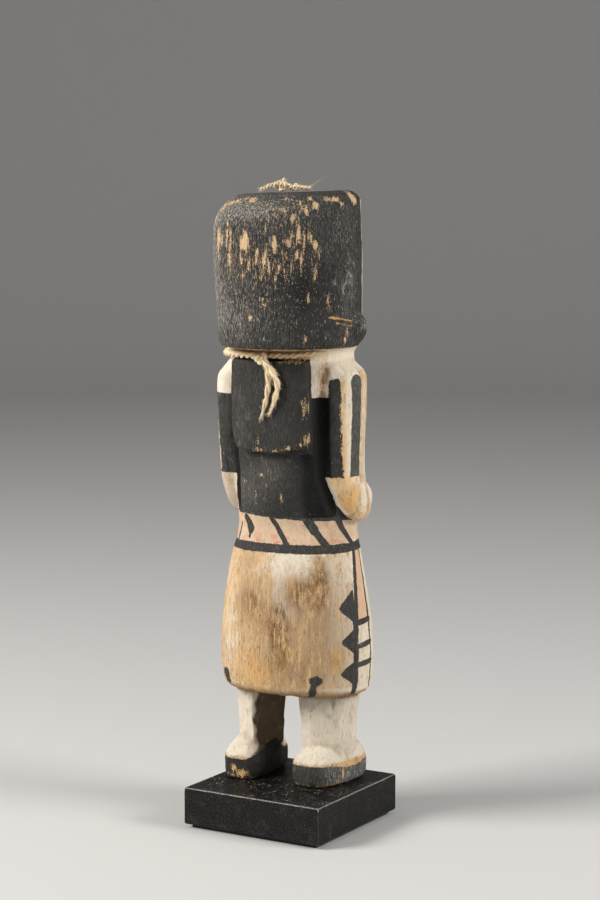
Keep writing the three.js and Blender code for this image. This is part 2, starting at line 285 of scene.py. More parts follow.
def makeStrokeGroup():
    # distance in mm inside a round-ended brush stroke from (U1, V1) to (U2, V2)
    tree, given, result = startGroup(
        "brush_stroke", ["U", "V", "U1", "V1", "U2", "V2", "Half width"], ["Distance"])
    dirU = minus(given["U2"], given["U1"])
    dirV = minus(given["V2"], given["V1"])
    relU = minus(given["U"], given["U1"])
    relV = minus(given["V"], given["V1"])
    along = timesAdd(relU, dirU, times(relV, dirV))
    length = timesAdd(dirU, dirU, times(dirV, dirV))
    share = addNode(tree, "ShaderNodeClamp", {0: calc("DIVIDE", along, length)}).outputs[0]
    offU = minus(relU, times(share, dirU))
    offV = minus(relV, times(share, dirV))
    away = calc("SQRT", timesAdd(offU, offU, times(offV, offV)))
    join(minus(given["Half width"], away), result["Distance"])
    return tree


def makeDustGroup():
    # fine pale dust: soft wisps and sharp specks
    tree, given, result = startGroup("dust", ["Vector", "More specks"], ["Film", "Specks"])
    cloud = noiseAt(given["Vector"], 0.22, (1, 1, 0.8), 6, 0.72, 0.25)
    join(fade(cloud, 0.5, 0.72), result["Film"])
    clusters = noiseAt(given["Vector"], 0.16, (1, 1, 1), 2, 0.5)
    grit = noiseAt(given["Vector"], 1.9, (1, 1, 0.8), 3, 0.6)
    grit = timesAdd(minus(clusters, 0.5), 0.25, grit)
    join(fade(add(grit, given["More specks"]), 0.72, 0.77), result["Specks"])
    return tree


grainGroup = makeGrainGroup()
raggedGroup = makeRaggedGroup()
strokeGroup = makeStrokeGroup()
dustGroup = makeDustGroup()


def meshObject(name, mesh):
    made = bpy.data.objects.new(name, mesh)
    scene.collection.objects.link(made)
    return made


def finishedMesh(obj):
    bpy.context.view_layer.update()
    return bpy.data.meshes.new_from_object(obj.evaluated_get(bpy.context.evaluated_depsgraph_get()))


def shadeSmooth(mesh):
    mesh.polygons.foreach_set("use_smooth", np.ones(len(mesh.polygons), bool))


def dress(obj, material):
    obj.data.materials.clear()
    obj.data.materials.append(material)


def applyModifiers(obj):
    shaped = finishedMesh(obj)
    obj.modifiers.clear()
    old = obj.data
    obj.data = shaped
    bpy.data.meshes.remove(old)
    shaped.name = obj.name


def fadeBetween(value, low, high):
    t = np.clip((value - low) / (high - low), 0, 1)
    return t * t * (3 - 2 * t)


# the carved figure

carving = {
    "turn": 5.0,                # degrees that the figure stands turned on its plinth
    "voxel": 0.75,              # mm
    "creaseAngle": 38, "legCreaseAngle": 18,
    "softReach": (0.8, 3.6),    # mm from a sharp edge over which smoothing grows to full
    "smoothRounds": 26,
    "wobble": 0.16, "wobbleSize": 7.0,
    "planeDepth": 0.6,          # how far the knife's flats may cut
    # lowest and highest place of the flats, spacing, share of the depth, seed
    "flats": [(1.5, 35, 5.0, 1.0, 3), (38, 164, 7.5, 0.34, 5), (172, 240, 8.5, 0.22, 7)],
    "chipDepth": 0.14,
    "grooveDepth": 1.3, "grooveWidth": 1.5,
    # grooves beside the trunk, as (sideways, height) corners and a share of the depth
    "grooves": [
        ([(-17.1, 150), (-17.1, 135), (-17.8, 120), (-20.2, 108)], 1.2),
        ([(19.2, 150), (19.2, 128), (18.6, 120), (20.2, 109)], 1.0),
        ([(-19.0, 161), (-18.5, 157), (-17.3, 151)], 0.6),
    ],
    "hemNicks": 0.45,
    "seatGap": 0.17,
}
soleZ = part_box("figure")[0].z
toDoll = Matrix.Rotation(math.radians(-carving["turn"]), 4, "Z") @ Matrix.Translation((0, 0, -soleZ))
toDoll = Matrix.Scale(1 / mm, 4) @ toDoll
fromDoll = toDoll.inverted()

# the upright middle line of each form, as seen from above, in mm
axes = {"head": (0, 1.8), "body": (0.5, -6.0), "leftLeg": (17.4, -8),
        "rightFoot": (-12.3, -8.9), "leftFoot": (19.8, -8.9)}
headPerDegree = 0.49        # mm round the head for one degree
bodyPerDegree = 0.45
footPerDegree = 0.21

# heights above the soles, and the line between the feet, in mm
heights = {
    "ankle": 15, "hem": 36, "kiltTop": 91, "waist": 105, "elbowTop": 122, "shoulder": 166.5, "jaw": 170,
}
legParting = 3.2

# bare places on the black mask: turn from the back towards its right in degrees,
# height, and how wide and tall in mm
headChips = [
    (-10, 210.4, 4.0, 7.4), (-13, 203.5, 0.9, 4), (-6.5, 202.5, 0.9, 4), (-9.5, 201.5, 0.7, 3),
    (-40.5, 212, 3.0, 6.5), (-42, 205, 1.2, 6), (-35, 211, 1.6, 4), (-28, 214, 0.9, 8), (-24, 211, 0.7, 7),
    (-26, 204, 0.7, 6), (-57, 218.5, 2.2, 6), (-48, 222.5, 3.8, 1.8), (-38, 224.2, 5.4, 1.2),
    (-27, 225, 4.4, 1.0), (-8, 225.4, 3.2, 1.7), (-17, 225.8, 1.2, 0.8), (15.2, 209.4, 2.1, 4.4),
    (7.5, 204, 1.6, 5.5), (2, 205, 1.0, 4), (5, 199, 1.0, 3), (11, 202, 0.9, 4.5), (9, 216, 0.9, 3),
    (26, 210.2, 2.2, 3.2), (29, 212.4, 1.4, 2.2), (33.5, 213.0, 1.7, 7.6), (33, 206.5, 1.5, 3),
    (38, 209.5, 0.7, 5), (36, 203, 0.8, 4), (43, 213, 0.8, 4), (46.3, 209.0, 1.8, 2.6), (50, 205.5, 0.9, 3),
    (46, 199, 0.8, 4), (47.6, 223.6, 2.6, 2.4), (44, 226, 1.4, 0.9), (39.5, 221.5, 1.0, 2.6),
    (35, 224.5, 1.3, 1.2), (29.5, 219, 1.8, 2.8), (22, 222, 1.5, 1.4), (25, 226, 1.4, 0.9),
    (60, 225.9, 2.4, 1.0), (67, 225.7, 3.8, 1.2), (73, 224, 1.4, 1.4), (91.5, 226.3, 5.0, 4.4),
    (16, 198, 0.8, 3), (19, 201, 1.0, 3), (24, 197, 0.8, 3.6), (7.2, 187.1, 2.1, 1.9), (5, 189, 1.2, 1.2),
    (-5.6, 182.1, 1.3, 1.3), (-7, 185.5, 0.7, 0.9), (-20, 175, 1.0, 1.0), (29.4, 180.9, 1.1, 1.1),
    (39.4, 174.2, 1.2, 2.2), (41, 190, 0.7, 2), (79, 176.2, 1.2, 2.2), (76, 173.5, 1.0, 1.2),
    (58, 187, 0.6, 3),
]
# bare places on the hair panel, the back and the left arm: sideways, height, how wide and tall
backChips = [
    (-13.7, 148.2, 0.5, 2.4), (-12.2, 134.2, 1.2, 1.1), (-13.8, 135.6, 0.5, 2.0), (5.0, 131.6, 2.4, 0.8),
    (-8.5, 132.8, 2.6, 0.7), (-2.5, 131.4, 1.5, 0.5), (4.8, 134, 0.5, 2.2), (-8.4, 165.4, 5.6, 1.0),
    (3.1, 117.2, 0.7, 0.8), (5.5, 121.4, 1.0, 0.6), (14, 118.5, 0.9, 0.7), (9.2, 111.2, 0.4, 2.4),
    (-2, 112.8, 0.35, 2), (27.9, 125.5, 1.8, 9.5), (27.9, 136, 1.1, 6), (28.2, 145, 0.8, 4),
]

# worn places on the soles: turn round the foot, height, how wide and tall
soleChips = {
    "leftFoot": [(8, 2.4, 3.6, 3.0), (-4, 4.6, 1.8, 2.6), (20, 0.5, 4.5, 1.6), (-8, 1.4, 2, 1.2)],
    "rightFoot": [
        (60, 3.8, 2.0, 3.8), (-10, 0.1, 14, 1.1), (24, 0.1, 8, 1.3), (68, 6.2, 1.2, 1.2),
        (44, 1.0, 1.2, 1.6)],
}


# patches of wear: how strong, sideways or round the form, height, half width, half height, in mm
wear = {
    "headRub": [
        (0.75, -8, 206, 11, 10), (0.75, 15, 208, 10, 9), (0.7, 3, 201, 15, 6), (0.7, 12, 222, 27, 4.5),
        (0.45, -26, 212, 6, 9), (0.4, 2, 188, 20, 9), (-0.3, 33, 205, 8, 16)],
    "trunkRub": [(0.15, 4, 112, 12, 8)],
    # dust on the mask, and painted sheen: its left side, towards the key light, is dusted paler
    "headDust": [
        (0.75, -27, 200, 11, 40), (0.6, -4, 222, 22, 7), (0.28, 40, 190, 7, 16), (0.22, 38, 213, 8, 9),
        (0.25, -6, 180, 14, 7), (-0.16, 18, 192, 9, 14), (0.8, 39.5, 196.5, 2.6, 2.4),
        (0.9, 35.8, 192.2, 1.0, 2.2), (0.6, 47, 179, 2.6, 3.5), (0.9, 31.2, 195, 0.8, 1.4),
        (0.3, -11, 186, 11, 13)],
    "waistDust": [(0.5, 12, 114, 8, 9), (0.45, 2, 122, 7, 6)],
    "panelDust": [(0.2, 12, 140, 6, 12)],
    "kiltFilm": [
        (0.5, 6, 88, 9, 5), (0.4, 15, 87.5, 4, 5), (0.28, 3, 76, 4, 8), (0.14, -24, 60, 5, 22),
        (0.22, 8, 69, 4, 4), (-0.22, -10, 44, 12, 7), (-0.2, 27, 51, 3, 5)],
    "elbowFilm": [(0.45, 1.6, 121, 2.4, 3.6), (0.4, -4, 113, 2.2, 9), (0.3, 6, 117, 3, 4)],
    "kiltDirt": [
        (1.1, 3, 61, 5, 11), (1.0, 21.5, 82, 3.2, 8), (0.85, -13, 73, 6, 6), (0.75, 13, 77, 8, 7),
        (0.5, -6, 66, 9, 8), (0.4, 24, 62, 8, 24), (0.42, 13, 64, 16, 24), (0.35, -18, 88, 5, 6),
        (0.42, 6, 46, 20, 8)],
    "shoulderDirt": [(0.45, -16.6, 161, 1.8, 4)],
    "shoulderCrease": [(-19.6, 163), (-18.6, 158), (-17.2, 151)],
    "shoulderStain": [
        (0.55, -15.5, 166.5, 5, 1.6), (0.4, -20, 166.8, 5, 1.2), (0.55, -19.4, 161, 1.6, 3),
        (0.3, -15, 161.5, 2, 2)],
    "kiltStain": [(0.55, 27, 50, 3, 6), (0.4, -8, 44, 14, 7), (0.4, -9, 64, 8, 5), (0.3, -22, 80, 5, 16)],
    "armCorner": [(1, -25.0, 6.8, 1.2, 1.8)],       # seen from above
}


def turnAbout(axis, points):
    return np.degrees(np.arctan2(-(points[:, 0] - axis[0]), points[:, 1] - axis[1]))


def neighbourMean(values, pairs):
    # for each point, the mean over the points that an edge joins to it
    a, b = pairs
    count = len(values)
    links = np.bincount(a, minlength=count) + np.bincount(b, minlength=count)
    columns = np.atleast_2d(values.T)
    sums = [np.bincount(a, column[b], count) + np.bincount(b, column[a], count) for column in columns]
    return (np.stack(sums, 1) / links[:, None]).reshape(values.shape)


def relax(points, pairs, weight, rounds):
    # a smoothing pass followed by a swelling one, so the form keeps its size
    for step in range(rounds * 2):
        push = 0.62 if step % 2 == 0 else -0.64
        points += (neighbourMean(points, pairs) - points) * (weight * push)[:, None]


def sharpEdgePoints(bm):
    found = []
    for edge in bm.edges:
        if len(edge.link_faces) != 2:
            continue
        start, end = [toDoll @ v.co for v in edge.verts]
        onLeg = 11 < (start.z + end.z) / 2 < heights["hem"]
        limit = carving["legCreaseAngle"] if onLeg else carving["creaseAngle"]
        if math.degrees(edge.calc_face_angle(0)) > limit:
            steps = int((end - start).length / 0.7) + 1
            found += [start.lerp(end, i / steps) for i in range(steps + 1)]
    return found


def nearestTo(points, places):
    tree = kdtree.KDTree(len(places))
    for i, place in enumerate(places):
        tree.insert(place, i)
    tree.balance()
    return np.array([tree.find(p)[1:] for p in points])


def lineDistance(points, corners):
    # distance in the upright plane from a bent line of (sideways, height) corners
    best = np.full(len(points), 1e3)
    flat = points[:, [0, 2]]
    for start, end in zip(corners, corners[1:]):
        run = np.subtract(end, start)
        share = np.clip((flat - start) @ run / (run @ run), 0, 1)
        best = np.minimum(best, np.linalg.norm(flat - start - share[:, None] * run, axis=1))
    return best


def chipField(sideways, height, chips, perUnit=1):
    # mm inside the nearest bare place, rounded like a flake
    best = np.full(len(height), -3.0)
    for middle, z, wide, tall in chips:
        across = np.abs((sideways - middle * perUnit) / (wide / 2)) ** 2.5
        reach = (across + np.abs((height - z) / (tall / 2)) ** 2.5) ** 0.4
        best = np.maximum(best, (1 - reach) * min(wide, tall) / 2)
    return best


def patches(sideways, height, spots):
    return sum(share * np.exp(-((sideways - middle) / wide) ** 2 - ((height - z) / tall) ** 2)
               for share, middle, z, wide, tall in spots)


def writeAttribute(mesh, name, values):
    layer = mesh.attributes.new(name, "FLOAT", "POINT")
    layer.data.foreach_set("value", np.asarray(values, np.float32))


def knifeFlats(points, normals, chosen, spacing, depth, seed):
    # pulls the surface onto flat patches, taller than wide, as a knife leaves them
    squash = np.array([1, 1, 0.42])
    order = np.random.default_rng(seed).permutation(np.flatnonzero(chosen))
    sites, grid = [], {}
    for i in order:
        cell = tuple((points[i] * squash / spacing).astype(int))
        around = itertools.product(*[(k - 1, k, k + 1) for k in cell])
        near = [points[grid[other]] for other in around if other in grid]
        if all(np.linalg.norm((points[i] - place) * squash) > spacing * 0.8 for place in near):
            grid[cell] = i
            sites.append(i)
    found = nearestTo(points[chosen] * squash, [Vector(points[i] * squash) for i in sites])
    site = np.array(sites)[found[:, 0].astype(int)]
    gap = ((points[site] - points[chosen]) * normals[site]).sum(1)
    facing = np.clip((normals[site] * normals[chosen]).sum(1), 0, 1)
    move = np.clip(gap, -depth, depth) * fadeBetween(facing, 0.75, 0.95)
    points[chosen] += normals[chosen] * move[:, None]


def carve(points, normals):
    # the knife's flats, an uneven surface, grooves, a nicked hem and the place on the plinth
    y, z = points.T[1:]         # these follow the points as they move
    for low, high, spacing, share, seed in carving["flats"]:
        knifeFlats(points, normals, (z > low) & (z < high), spacing, carving["planeDepth"] * share, seed)
    size = carving["wobbleSize"]
    swell = np.array([noise.noise((p[0] / size, p[1] / size, p[2] / size / 1.8)) for p in points])
    points += normals * (swell * carving["wobble"])[:, None]
    behind = fadeBetween(y, 2, 6)
    for corners, share in carving["grooves"]:
        near = np.exp(-(lineDistance(points, corners) / carving["grooveWidth"]) ** 2)
        points -= normals * (near * behind * carving["grooveDepth"] * share)[:, None]
    nick = np.array([noise.noise((p[0] / 2.3, p[1] / 2.3, 4.2)) for p in points])
    z += nick * fadeBetween(z, 34, 36) * (1 - fadeBetween(z, 36.5, 40)) * carving["hemNicks"]
    z -= carving["seatGap"] * (1 - fadeBetween(z, 0, 2.5))


def barePlaces(points):
    # mm inside the nearest chip, on the mask, the back and the soles
    x, y, z = points.T
    headTurn = turnAbout(axes["head"], points)
    chips = np.where(z > 170.3, chipField(headTurn * headPerDegree, z, headChips, headPerDegree), -3.0)
    onBack = (z < heights["shoulder"]) & (z > 108) & (y > np.where(x > 24, 0, 5))
    chips = np.where(onBack, chipField(x, z, backChips), chips)
    for foot, onSide in (("leftFoot", x > legParting), ("rightFoot", x < legParting)):
        worn = chipField(turnAbout(axes[foot], points) * footPerDegree, z, soleChips[foot], footPerDegree)
        chips = np.where(onSide & (z < 12), worn, chips)
    return chips


def wearFields(points):
    x, y, z = points.T
    headRound = turnAbout(axes["head"], points) * headPerDegree
    bodyTurn = turnAbout(axes["body"], points)
    bodyRound = bodyTurn * bodyPerDegree
    head = z > heights["jaw"]
    behind = y > 0
    below = {name: z < height for name, height in heights.items()}
    legs = (z < 35.3) & (np.hypot(x - 0.5, y + 6.4) < 28)
    trunk = (z > heights["waist"]) & (z < 170.2)
    forearm = ((np.abs(x - 0.5) > 17.5) | (y < -19)) & (z > 102) & below["elbowTop"]

    # where the black has rubbed off in streaks
    trunkRub = 0.02 + patches(x, z, wear["trunkRub"]) + 0.12 * (np.abs(x) > 20)
    trunkRub += 0.4 * fadeBetween(x, 24.5, 27)
    rub = np.where(head, 0.22 + patches(headRound, z, wear["headRub"]), trunkRub)

    # where grey dust lies on it: none in the gaps between the arms and the trunk, where the black is painted
    # darker as shade
    dust = 0.16 + patches(x, z, wear["waistDust"]) - 0.2 * fadeBetween(-x, 6, 15)
    panelDust = 0.24 - 0.12 * fadeBetween(-x, -2, 12) + patches(x, z, wear["panelDust"])
    dust = np.where((z > 130) & (x > -15), panelDust, dust)
    gap = fadeBetween(x, -21.5, -20) * (1 - fadeBetween(x, -16.2, -14))
    gap += fadeBetween(x, 17.6, 18.2) * (1 - fadeBetween(x, 20.2, 21.5))
    dust = dust * (1 - np.clip(gap, 0, 1) * behind * (z > 107))
    soleDust = np.where(x < 3, 0.46 + 0.4 * fadeBetween(-x, 12, 20), 0.2)
    # painted light: the right arm's outer side, where the side light falls, is given a pale dust film
    for place, value in (
            (x > 21, 0.3), ((x < -20.5) & behind, 0.27), (x < -25.5, 0.66), (below["waist"], 0.36),
            (below["ankle"], soleDust), (head, 0.2 + patches(headRound, z, wear["headDust"]))):
        dust = np.where(place, value, dust)

    # whitewash that is left, 1 where it is whole
    film = 0.36 + patches(bodyRound, z, wear["kiltFilm"])
    film += 0.18 * fadeBetween(bodyRound, 19, 27) + 0.1 * fadeBetween(bodyRound, 33.5, 35.5)
    front = fadeBetween(np.abs(bodyTurn), 100, 150)
    film = film * (1 - front) + 0.7 * front
    film = np.where(z < 92.5, film, 0.62)
    film = np.where((z < 40) & (z > 30), film * fadeBetween(z, 36.0, 39.0) + 0.14, film)
    film = np.where(legs, 0.84, film)
    film = np.where(z < 11.5, 0.3 + 0.54 * fadeBetween(z, 7.8, 9.8), film)
    film = np.where(trunk, 0.86, film)
    film = np.where(trunk & (y > 6) & (x > -14.6) & (x < 18), 0.2, film)
    film = np.where(head, 0.2 + 0.7 * (1 - fadeBetween(y, -10, -6)), film)
    forward = fadeBetween(-y, 7, 17)
    elbow = np.where(x < 0, 0.34 + patches(y, z, wear["elbowFilm"]), 0.66)
    film = np.where(forearm, elbow * (1 - forward) + 0.86 * forward, film)
    armCorner = patches(x, y, wear["armCorner"])
    film = np.where((x < -24.3) & (z > 119) & (z < 158), 0.74 - 0.3 * armCorner, film)
    film = np.where((x < -27.4) & (y < 0.5) & (z > 119) & (z < 163), 0.46, film)

    # brown handling smudges, and painted shade: on the left leg's inner side, under the jaw and, with some
    # dirt, by the shoulder; the legs are also darker towards the hem
    dirt = np.where((z > 37) & below["kiltTop"], patches(bodyRound, z, wear["kiltDirt"]), 0)
    # painted shade: the left leg's inner side, turned away from the light, is darkened brown
    legTurn = turnAbout(axes["leftLeg"], points)
    innerLegShade = fadeBetween(legTurn + 4 * np.sin(z * 0.34) + 3 * np.sin(z * 0.9), 14, 18)
    innerLegShade = innerLegShade * (1 - fadeBetween(legTurn, 120, 150)) * (x > 4)
    dirt = np.where(legs, innerLegShade + 0.24 * fadeBetween(z, 24, 36) + 0.07 * (x < legParting), dirt)
    # dirt and painted shade along the fold between the shoulder and the arm
    crease = np.exp(-(lineDistance(points, wear["shoulderCrease"]) / 1.8) ** 2)
    # painted shadow in a band just under the jaw's rim
    neck = fadeBetween(z, 168.4, 169.6) * (np.abs(x) < 19)
    dirt = np.where(trunk, (0.95 * crease + 0.75 * neck) * behind, dirt)
    dirt += trunk * (x < -14.5) * patches(x, z, wear["shoulderDirt"]) * behind
    dirt = np.where(trunk & (x > 18) & (z < 121), 0.3, dirt)

    # orange stains, where the priming has worn through
    stain = patches(x, z, wear["shoulderStain"])
    armStain = 0.46 + 0.7 * armCorner + 0.5 * (x < -28.2) * (y < 1)
    stain = np.where((x < -23.8) & (z > 119) & (z < 160), armStain, stain)
    stain = np.where(forearm, np.where(x < 0, 1.0, 0.8 * (x > 28.2)), stain) * behind
    stain = np.where(below["waist"], 0, stain)
    kiltStain = 0.2 + patches(bodyRound, z, wear["kiltStain"])
    stain = np.where((z > heights["hem"]) & below["kiltTop"], kiltStain, stain)
    soleStain = 0.75 * (z < 7.4) + 0.45 * np.exp(-((z - 9.2) / 1.3) ** 2)
    stain = np.where(below["ankle"], soleStain, stain)
    return {"rub": rub, "dust": dust, "film": film, "dirt": dirt, "stain": stain}


def makeFigure():
    # a copy of the plain solid becomes an even mesh, and is worked in the doll's own mm
    bm = bmesh.new()
    bm.from_mesh(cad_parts["figure"].data)
    bmesh.ops.remove_doubles(bm, verts=bm.verts, dist=1e-6)
    creases = sharpEdgePoints(bm)
    mesh = bpy.data.meshes.new("carved_figure")
    bm.to_mesh(mesh)
    bm.free()
    figure = meshObject("carved_figure", mesh)
    remesh = figure.modifiers.new("voxels", "REMESH")
    remesh.mode = "VOXEL"
    remesh.voxel_size = carving["voxel"] * mm
    applyModifiers(figure)
    mesh = figure.data
    count = len(mesh.vertices)
    flat = np.empty(count * 3)
    mesh.vertices.foreach_get("co", flat)
    turnMatrix, shift = np.array(toDoll.to_3x3()), np.array(toDoll.translation)
    points = flat.reshape(-1, 3) @ turnMatrix.T + shift
    ends = np.empty(len(mesh.edges) * 2, np.int32)
    mesh.edges.foreach_get("vertices", ends)
    pairs = ends[::2], ends[1::2]

    def writeBack():
        mesh.vertices.foreach_set("co", ((points - shift) @ np.linalg.inv(turnMatrix).T).ravel())
        mesh.update()
        arrows = np.empty(count * 3)
        mesh.vertices.foreach_get("normal", arrows)
        return arrows.reshape(-1, 3) @ np.array(Matrix.Rotation(math.radians(-carving["turn"]), 3, "Z")).T

    distance = nearestTo(points, creases)[:, 1]
    softness = 0.12 + 0.88 * fadeBetween(distance, *carving["softReach"])
    relax(points, pairs, softness, carving["smoothRounds"])
    normals = writeBack()
    carve(points, normals)
    chips = barePlaces(points)
    points -= normals * (fadeBetween(chips, -0.2, 0.5) * carving["chipDepth"])[:, None]
    relax(points, pairs, np.full(count, 0.35), 1)
    normals = writeBack()

    # how far the surface bends out (edges, worn) or in (hollows, painted darker as shade)
    bend = ((neighbourMean(points, pairs) - points) * normals).sum(1)
    for _ in range(4):
        bend = 0.4 * bend + 0.6 * neighbourMean(bend, pairs)
    for name, values in {"edge": -bend / 0.05, "hollow": bend / 0.05, **wearFields(points)}.items():
        writeAttribute(mesh, name, np.clip(values, 0, 1))
    writeAttribute(mesh, "chip", chips)
    shadeSmooth(mesh)
    print("carved figure:", count, "points,", len(mesh.polygons), "faces")
    return figure


figurePaint = {
    "woodLight": (0.74, 0.53, 0.3, 1), "woodDark": (0.4, 0.25, 0.125, 1), "woodOrange": (0.8, 0.47, 0.18, 1),
    "white": (0.8, 0.72, 0.59, 1), "whiteDirtAndShade": (0.5, 0.4, 0.28, 1),
    "black": (0.02, 0.0195, 0.019, 1), "blackDeep": (0.005, 0.005, 0.005, 1),
    "blackDustAndLight": (0.2, 0.19, 0.17, 1), "dustSmudgeAndLight": (0.42, 0.41, 0.38, 1), "fleck": (0.56, 0.49, 0.39, 1),
    "sash": (0.68, 0.51, 0.36, 1), "sashTan": (0.52, 0.33, 0.17, 1), "rose": (0.66, 0.25, 0.19, 1),
    "orange": (0.68, 0.42, 0.25, 1), "scratch": (0.62, 0.35, 0.14, 1), "chip": (0.78, 0.64, 0.44, 1),
    "dirt": (0.21, 0.105, 0.04, 1), "legDirtAndShade": (0.125, 0.09, 0.058, 1), "grime": (0.13, 0.07, 0.03, 1),
    # where the painted fields end, in mm
    "jawZ": 170.4, "crownZ": 225.5, "faceY": -7.2,
    "panelX": (-14.7, 18.1), "panelZ": (129, 166.0),
    "chestZ": 151.4, "sashZ": 104.4, "bandTop": 94.8, "bandBottom": 91.4,
    "armLowZ": 121.2, "armStripe": 2.95,
    "elbowHigh": (0.285, -52.05), "elbowLow": (0.617, -88.5), "halfTrunk": 17.3,
    "sideTurns": (76.4, 93), "sideZ": (36.8, 92),
    "soleZ": (7.2, 8.1),
    "eyeX": 9.5, "eyeZ": 199.0, "mouthZ": 186.0,
}
# strokes round the body: turn and height of each end, half width
sashStrokes = [
    (-47.4, 103.4, -40, 99.4, 1.9), (-41, 98.4, -40, 96.6, 0.6), (-9, 105, 15.5, 94, 1.35),
    (36, 105.5, 46, 100.5, 2.1), (45, 101, 57.5, 94, 1.6), (69.5, 105, 89, 93, 1.4),
    (-59, 101, -57.5, 94, 0.45), (-92, 105, -72, 94, 1.2), (-138, 105, -116, 94, 1.3),
    (112, 105, 133, 94, 1.2), (150, 105, 171, 94, 1.3),
]
sideLines = [
    (88, 94, 81, 80, 1.05), (81, 80, 76.4, 66, 1.15), (76.4, 66, 75.4, 58, 1.15), (75.4, 58, 75.6, 37, 1.1),
    (99, 92, 94, 72, 0.55), (94, 72, 93, 62, 0.55), (93, 62, 95.5, 37, 0.55),
    (75.6, 64.6, 93.5, 65.2, 1.1), (75.4, 55.5, 93.5, 56.4, 1.1), (75.4, 48.4, 94, 48.9, 1.1),
]
sideTriangles = [(61.6, 70.9, 6.2), (63, 57.8, 5.2), (62.5, 45.6, 4.9)]     # point, height, half of the base
# a scratched outline on the mask, behind its right ear
scratchStrokes = [
    (59.5, 182.2, 68, 181.7, 0.4), (68, 181.7, 84.5, 180.2, 0.24),
    (84.5, 180.2, 84, 178.6, 0.22), (83, 178.5, 66, 180, 0.16),
]


def makeFigurePaint():
    paint = figurePaint
    material, shader, place = startMaterial("painted_wood", soleZ, carving["turn"])
    x, y, z = partsOf(place)

    def turnRound(axis, perDegree):
        return times(calc("ARCTAN2", minus(axis[0], x), minus(y, axis[1])), math.degrees(perDegree))

    def ragged(field, rag=1.0, soft=0.12):
        return useGroup(raggedGroup, {"Vector": place, "Distance": field, "Rag": rag, "Soft": soft})[0]

    def stroke(across, up, u1, v1, u2, v2, half):
        return useGroup(strokeGroup, {
            "U": across, "V": up, "U1": u1, "V1": v1, "U2": u2, "V2": v2, "Half width": half})[0]

    def strokes(across, perDegree, lines):
        return anyOf(*[stroke(across, z, u1 * perDegree, v1, u2 * perDegree, v2, half)
                       for u1, v1, u2, v2, half in lines])

    def attribute(name):
        return addNode(material.node_tree, "ShaderNodeAttribute", attribute_name=name).outputs["Fac"]

    edge, hollow, chip, rub = attribute("edge"), attribute("hollow"), attribute("chip"), attribute("rub")
    film, dirt, dustLightAndShade, stain = attribute("film"), attribute("dirt"), attribute("dust"), attribute("stain")
    streaks = noiseAt(place, 1.0, (1, 1, 0.2), 5, 0.66, 0.3)
    fineStreaks = noiseAt(place, 2.9, (1, 1, 0.15), 4, 0.62)
    dashes = noiseAt(place, 2.0, (1, 1, 0.34), 4, 0.7)
    grit = noiseAt(place, 2.6, (1, 1, 0.8), 4, 0.65)
    mottled = noiseAt(place, 0.35, (1, 1, 0.6), 5, 0.65)
    broad = noiseAt(place, 0.09, (1, 1, 0.4), 3, 0.5)
    lowKilt = times(fade(minus(80, z), 0, 30), 0.045)
    grain = useGroup(grainGroup, {"Vector": place, "Pore depth": 0.22, "More pores": lowKilt})
    around = turnRound(axes["body"], bodyPerDegree)
    headAround = turnRound(axes["head"], headPerDegree)

    # black on the mask, the hair panel and the trunk
    faceEdge = timesAdd(minus(mottled, 0.5), 7.0, paint["faceY"])
    headBlack = allOf(minus(z, paint["jawZ"]), anyOf(minus(y, faceEdge), minus(z, paint["crownZ"])))
    panelBlack = allOf(within(x, *paint["panelX"]), within(z, *paint["panelZ"]), minus(y, 9))
    slope = calc("SINE", times(around, math.radians(1 / bodyPerDegree)))
    aboveSash = minus(z, timesAdd(slope, -0.85, paint["sashZ"] + 0.2))
    # by the elbows the black reaches onto the arms' inner sides in the gaps beside the trunk: partly black
    # paint, partly painted shade
    elbowLine = allOf(
        timesAdd(z, *paint["elbowHigh"]), timesAdd(z, *paint["elbowLow"]), -paint["halfTrunk"])
    rightOfElbow = minus(x, elbowLine)
    leftLimit = timesAdd(fade(minus(120, z), 0, 13), 1.6, 20.1)
    trunkBlack = allOf(rightOfElbow, minus(leftLimit, x), aboveSash, minus(paint["chestZ"], z), minus(y, -10))
    # black on the arms: the inner faces and two upright stripes on each
    aboveArmEnd = minus(z, paint["armLowZ"])
    innerRight = allOf(stroke(x, z, -22.4, 155.8, -22.4, 118, 2.6), minus(z, 120.9), minus(y, -2.5))
    outerRight = allOf(stroke(y, z, 2.3, 157.2, 0.5, 118, paint["armStripe"]), minus(-25, x), aboveArmEnd)
    innerFaces = allOf(within(x, -21.5, 21.5), within(z, 120.8, paint["chestZ"]), minus(y, -12))
    leftInner = allOf(within(x, 15, 29.4), within(z, 120.4, paint["chestZ"]), minus(y, -3))
    leftOuter = allOf(stroke(y, z, -8, 157.4, -8, 118, 3.0), minus(x, 26), aboveArmEnd)
    armBlack = anyOf(outerRight, leftInner, leftOuter)
    # sash strokes, band and side panel
    sash = strokes(around, bodyPerDegree, sashStrokes)
    sash = allOf(sash, within(z, paint["bandBottom"], paint["sashZ"] + 1.2))
    bandLow = timesAdd(slope, 0.2, paint["bandBottom"])
    bandHigh = timesAdd(slope, 0.14, paint["bandTop"])
    side = strokes(around, bodyPerDegree, sideLines)
    sideFrom, sideTo = [turn * bodyPerDegree for turn in paint["sideTurns"]]
    for turn, height, half in sideTriangles:
        reach = (76.2 - turn) * bodyPerDegree
        drop = calc("SQRT", add(calc("POWER", minus(z, height), 2), 0.8))
        rise = minus(around, turn * bodyPerDegree)
        slant = times(minus(times(rise, half / reach), minus(drop, 0.6)), reach / math.hypot(reach, half))
        side = anyOf(side, allOf(slant, minus(sideFrom, around)))
    side = allOf(side, within(z, *paint["sideZ"]))
    hemLeft = anyOf(stroke(around, z, 18.4, 42.8, 20.6, 43.0, 1.8),
                    stroke(around, z, 18.6, 41.5, 18.6, 35.0, 1.3))
    hemFar = stroke(around, z, -27.6, 42.2, -27.2, 39.4, 2.0)
